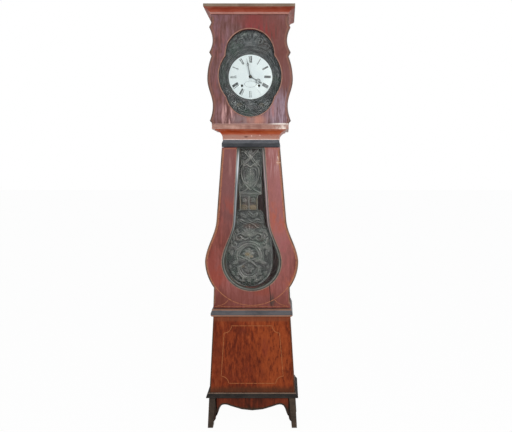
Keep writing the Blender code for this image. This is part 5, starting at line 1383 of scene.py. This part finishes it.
made = Build()
rims = []
for radius, face_radius, drop, count, x, z in (  # the plate's rim, then its holes
    (DIAL_R, DIAL_R - 0.0015, RIM_LIP, 120, 0.0, Z_DIAL),
    (PIPE_HOLE, PIPE_HOLE * HOLE_FLARE, HOLE_LIP, 24, 0.0, Z_DIAL),
    *((WIND_HOLE, WIND_HOLE * HOLE_FLARE, HOLE_LIP, 24, x, Z_DIAL - WIND_DROP) for x in (WIND_X, -WIND_X)),
):
    side, face = disc(radius, count, x, z), disc(face_radius, count, x, z)
    back = made.ring([(px, Y_DIAL, pz) for px, pz in side])
    lip = made.ring([(px, dial_y(px, pz) + drop, pz) for px, pz in side])
    top = made.ring([(px, dial_y(px, pz), pz) for px, pz in face])
    made.wall(back, lip)
    made.wall(lip, top)
    rims.append((face, top, side, back))
inner = []
for reach, count in ((0.022, 16), (0.036, 24), (0.052, 34), (0.068, 44), (0.084, 54), (0.100, 64), (0.112, 80)):
    at = [(x, z) for x, z in disc(reach, count, 0.0, Z_DIAL)
          if all(math.hypot(x - hole, z - Z_DIAL + WIND_DROP) > 0.011 for hole in (WIND_X, -WIND_X))]
    inner += made.ring([(x, dial_y(x, z), z) for x, z in at])
faces, tops, sides, backs = zip(*rims)
made.cap(faces, tops, inner)
made.cap(sides, backs)
made.done("dial_plate", enamel.made, "case", ("dial",))

# Numerals and marks, as thin enamel just proud of the dial
LOW_R, HIGH_R = 0.0755, 0.1105
STEM, MAIN, HAIR = 0.0040, 0.0029, 0.0013
WIDTHS = {"I": 0.0044, "V": 0.0096, "X": 0.0096}
MINUTE_R = 0.1160
OVAL_DROP, OVAL_OUT, OVAL_IN = 0.0390, (0.0338, 0.0178), (0.0310, 0.0150)
MARK_RISE = 0.00022
marks = Build()


def mark(corners, fade):
    """A thin patch over a closed outline on the dial, given counter-clockwise."""
    front, back = (marks.ring([(x, dial_y(x, z) + t, z) for x, z in corners], fade=fade)
                   for t in (-MARK_RISE, LINE_SINK))
    marks.wall(front, back)
    marks.faces += [tuple(front), tuple(reversed(back))]


def numeral(text, hour, fade):
    turn = math.radians(30 * hour)
    along = -sum(WIDTHS[letter] for letter in text) / 2

    def put(quad, share):
        at = []
        for u, v in quad:
            reach = LOW_R + (HIGH_R - LOW_R) * v
            x = reach * math.sin(turn) + u * math.cos(turn)
            at.append((x, Z_DIAL + reach * math.cos(turn) - u * math.sin(turn)))
        mark(at, fade * share)

    def bar(low, high, wide, share=1.0):
        rows = [(low + (high - low) * v, v) for v in (0.0, 0.5, 1.0)]
        put([(u + wide / 2, v) for u, v in rows] + [(u - wide / 2, v) for u, v in reversed(rows)], share)

    def serif(u, v, half):
        put([(u + half, v - 0.010), (u + half, v + 0.010), (u - half, v + 0.010), (u - half, v - 0.010)], 0.7)

    for letter in text:
        width = WIDTHS[letter]
        middle = along + width / 2
        lean = width * 0.30
        if letter == "I":
            bar(middle, middle, STEM)
            serif(middle, 0.010, STEM * 0.62)
            serif(middle, 0.990, STEM * 0.62)
        elif letter == "V":
            bar(middle, middle - lean, MAIN, 0.85)
            bar(middle + 0.0006, middle + lean, HAIR, 0.7)
            serif(middle - lean, 0.990, MAIN * 0.8)
            serif(middle + lean, 0.990, MAIN * 0.6)
        else:
            bar(middle + lean, middle - lean, MAIN * 1.25)
            bar(middle - lean, middle + lean, HAIR, 0.6)
            for share, v in ((-1, 0.010), (1, 0.990), (-1, 0.990), (1, 0.010)):
                serif(middle + lean * share, v, MAIN * 0.6)
        along += width


for hour, text, fade in (
    (12, "XII", 0.96), (1, "I", 0.80), (2, "II", 1.0), (3, "III", 1.0), (4, "IIII", 0.86), (5, "V", 0.14),
    (6, "VI", 0.74), (7, "VII", 0.98), (8, "VIII", 1.0), (9, "IX", 0.74), (10, "X", 0.98), (11, "XI", 0.96),
):
    numeral(text, hour, fade)
for i in range(60):
    a = 2 * math.pi * i / 60
    radius, fade = (0.0005, 0.18) if i % 5 else (0.0009, 0.3)
    mark(disc(radius, 8, MINUTE_R * math.sin(a), Z_DIAL + MINUTE_R * math.cos(a)), fade)
for i in range(24):
    a, b = 2 * math.pi * i / 24, 2 * math.pi * (i + 0.55) / 24
    ends = (*OVAL_OUT, a), (*OVAL_OUT, b), (*OVAL_IN, b), (*OVAL_IN, a)
    mark([(math.cos(t) * wide, Z_DIAL - OVAL_DROP + math.sin(t) * tall) for wide, tall, t in ends],
         0.95 if i % 6 in (0, 5) else 0.62)
marks.done("dial_marks", ink.made, "case")

# Hour hand with a pierced ring
hand_low, hand_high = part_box("hour_hand")
tip = max((v.co for v in nodes["hour_hand"].data.vertices), key=lambda p: math.hypot(p.x, p.z - Z_DIAL))
HAND_LONG = math.hypot(tip.x, tip.z - Z_DIAL)
point_x, point_z = tip.x / HAND_LONG, (tip.z - Z_DIAL) / HAND_LONG
BOSS, PIPE, RING_AT, RING_R, RING_HOLE, RING_BAR = 0.0085, 0.0051, 0.0485, 0.0122, 0.0098, 0.0009
half_hand = [(-BOSS, 0.0)]
half_hand += [(BOSS * math.cos(a), BOSS * math.sin(a)) for a in [math.pi * (1 - i / 24 * 0.925) for i in range(1, 25)]]
half_hand += [(RING_AT + RING_R * math.cos(a), RING_R * math.sin(a))
              for a in [math.pi * (0.955 - 0.91 * i / 32) for i in range(33)]]
half_hand += [(0.0620, 0.0017), (0.0650, 0.0032), (0.0680, 0.0026), (HAND_LONG, 0.0)]
loops = [half_hand + [(u, -v) for u, v in reversed(half_hand) if v > 1e-9], disc(PIPE, 24)]
low = math.asin(RING_BAR / RING_HOLE)
sweep = [low + (math.pi - 2 * low) * i / 20 for i in range(21)]
for sign in (1, -1):
    loops.append([(RING_AT + RING_HOLE * math.cos(a), sign * RING_HOLE * math.sin(a)) for a in sweep])
made = Build()
rings = [[made.ring([(u * point_x + v * point_z, y, Z_DIAL + u * point_z - v * point_x) for u, v in loop])
          for loop in loops] for y in (hand_low.y, hand_high.y)]
for front_ring, back_ring in zip(*rings):
    made.wall(front_ring, back_ring)
faces = cover(loops)
for side in rings:
    order = [i for ring in side for i in ring]
    made.faces.extend(tuple(order[i] for i in face) for face in faces)
made.done("hour_pointer", steel, "hour_hand", ("hour_hand",), 30.0)

# Stage and light: floor and sky are white to the camera and in gloss and glass, and pale to all other light
SEEN = "Camera", "Glossy", "Transmission"
WIDE = 30
floor = bpy.data.meshes.new("floor")
floor.from_pydata([(-WIDE, -WIDE, 0), (WIDE, -WIDE, 0), (WIDE, WIDE, 0), (-WIDE, WIDE, 0)], [], [(0, 1, 2, 3)])
ground = bpy.data.objects.new("floor", floor)
scene.collection.objects.link(ground)
pale = Look("pale_floor", base_color=(1.0, 1.0, 1.0, 1.0), roughness=1.0, specular_ior_level=0.0)
pale.surface(pale.times(pale.rays(*SEEN), 0.97), pale.shader,
             pale.node("Emission", {"Color": (1, 1, 1, 1), "Strength": 1.0}))
floor.materials.append(pale.made)

scene.world = bpy.data.worlds.new("studio")
scene.world.use_nodes = True
sky = Nodes(scene.world.node_tree)
lit = sky.tree.nodes["Background"]
sky.put(lit.inputs["Color"], (0.93, 0.96, 1.0, 1.0))
sky.put(lit.inputs["Strength"], 0.40)
sky.surface(sky.rays(*SEEN), lit, sky.node("Background", {"Color": (1, 1, 1, 1), "Strength": 1.0}))


def lamp(name, place, aim, wide, watts, colour):
    made = bpy.data.lights.new(name, "AREA")
    made.shape = "SQUARE"
    made.size = wide
    made.energy = watts
    made.color = colour
    at = bpy.data.objects.new(name, made)
    at.location = place
    at.rotation_euler = (Vector(aim) - Vector(place)).to_track_quat("-Z", "Y").to_euler()
    scene.collection.objects.link(at)


lamp("key", (1.7, -3.4, 2.7), (0.0, 0.0, 1.2), 1.8, 70.0, (1.0, 0.98, 0.95))
lamp("fill", (-2.3, -2.6, 2.2), (0.0, 0.0, 1.3), 1.4, 20.0, (0.9, 0.95, 1.0))
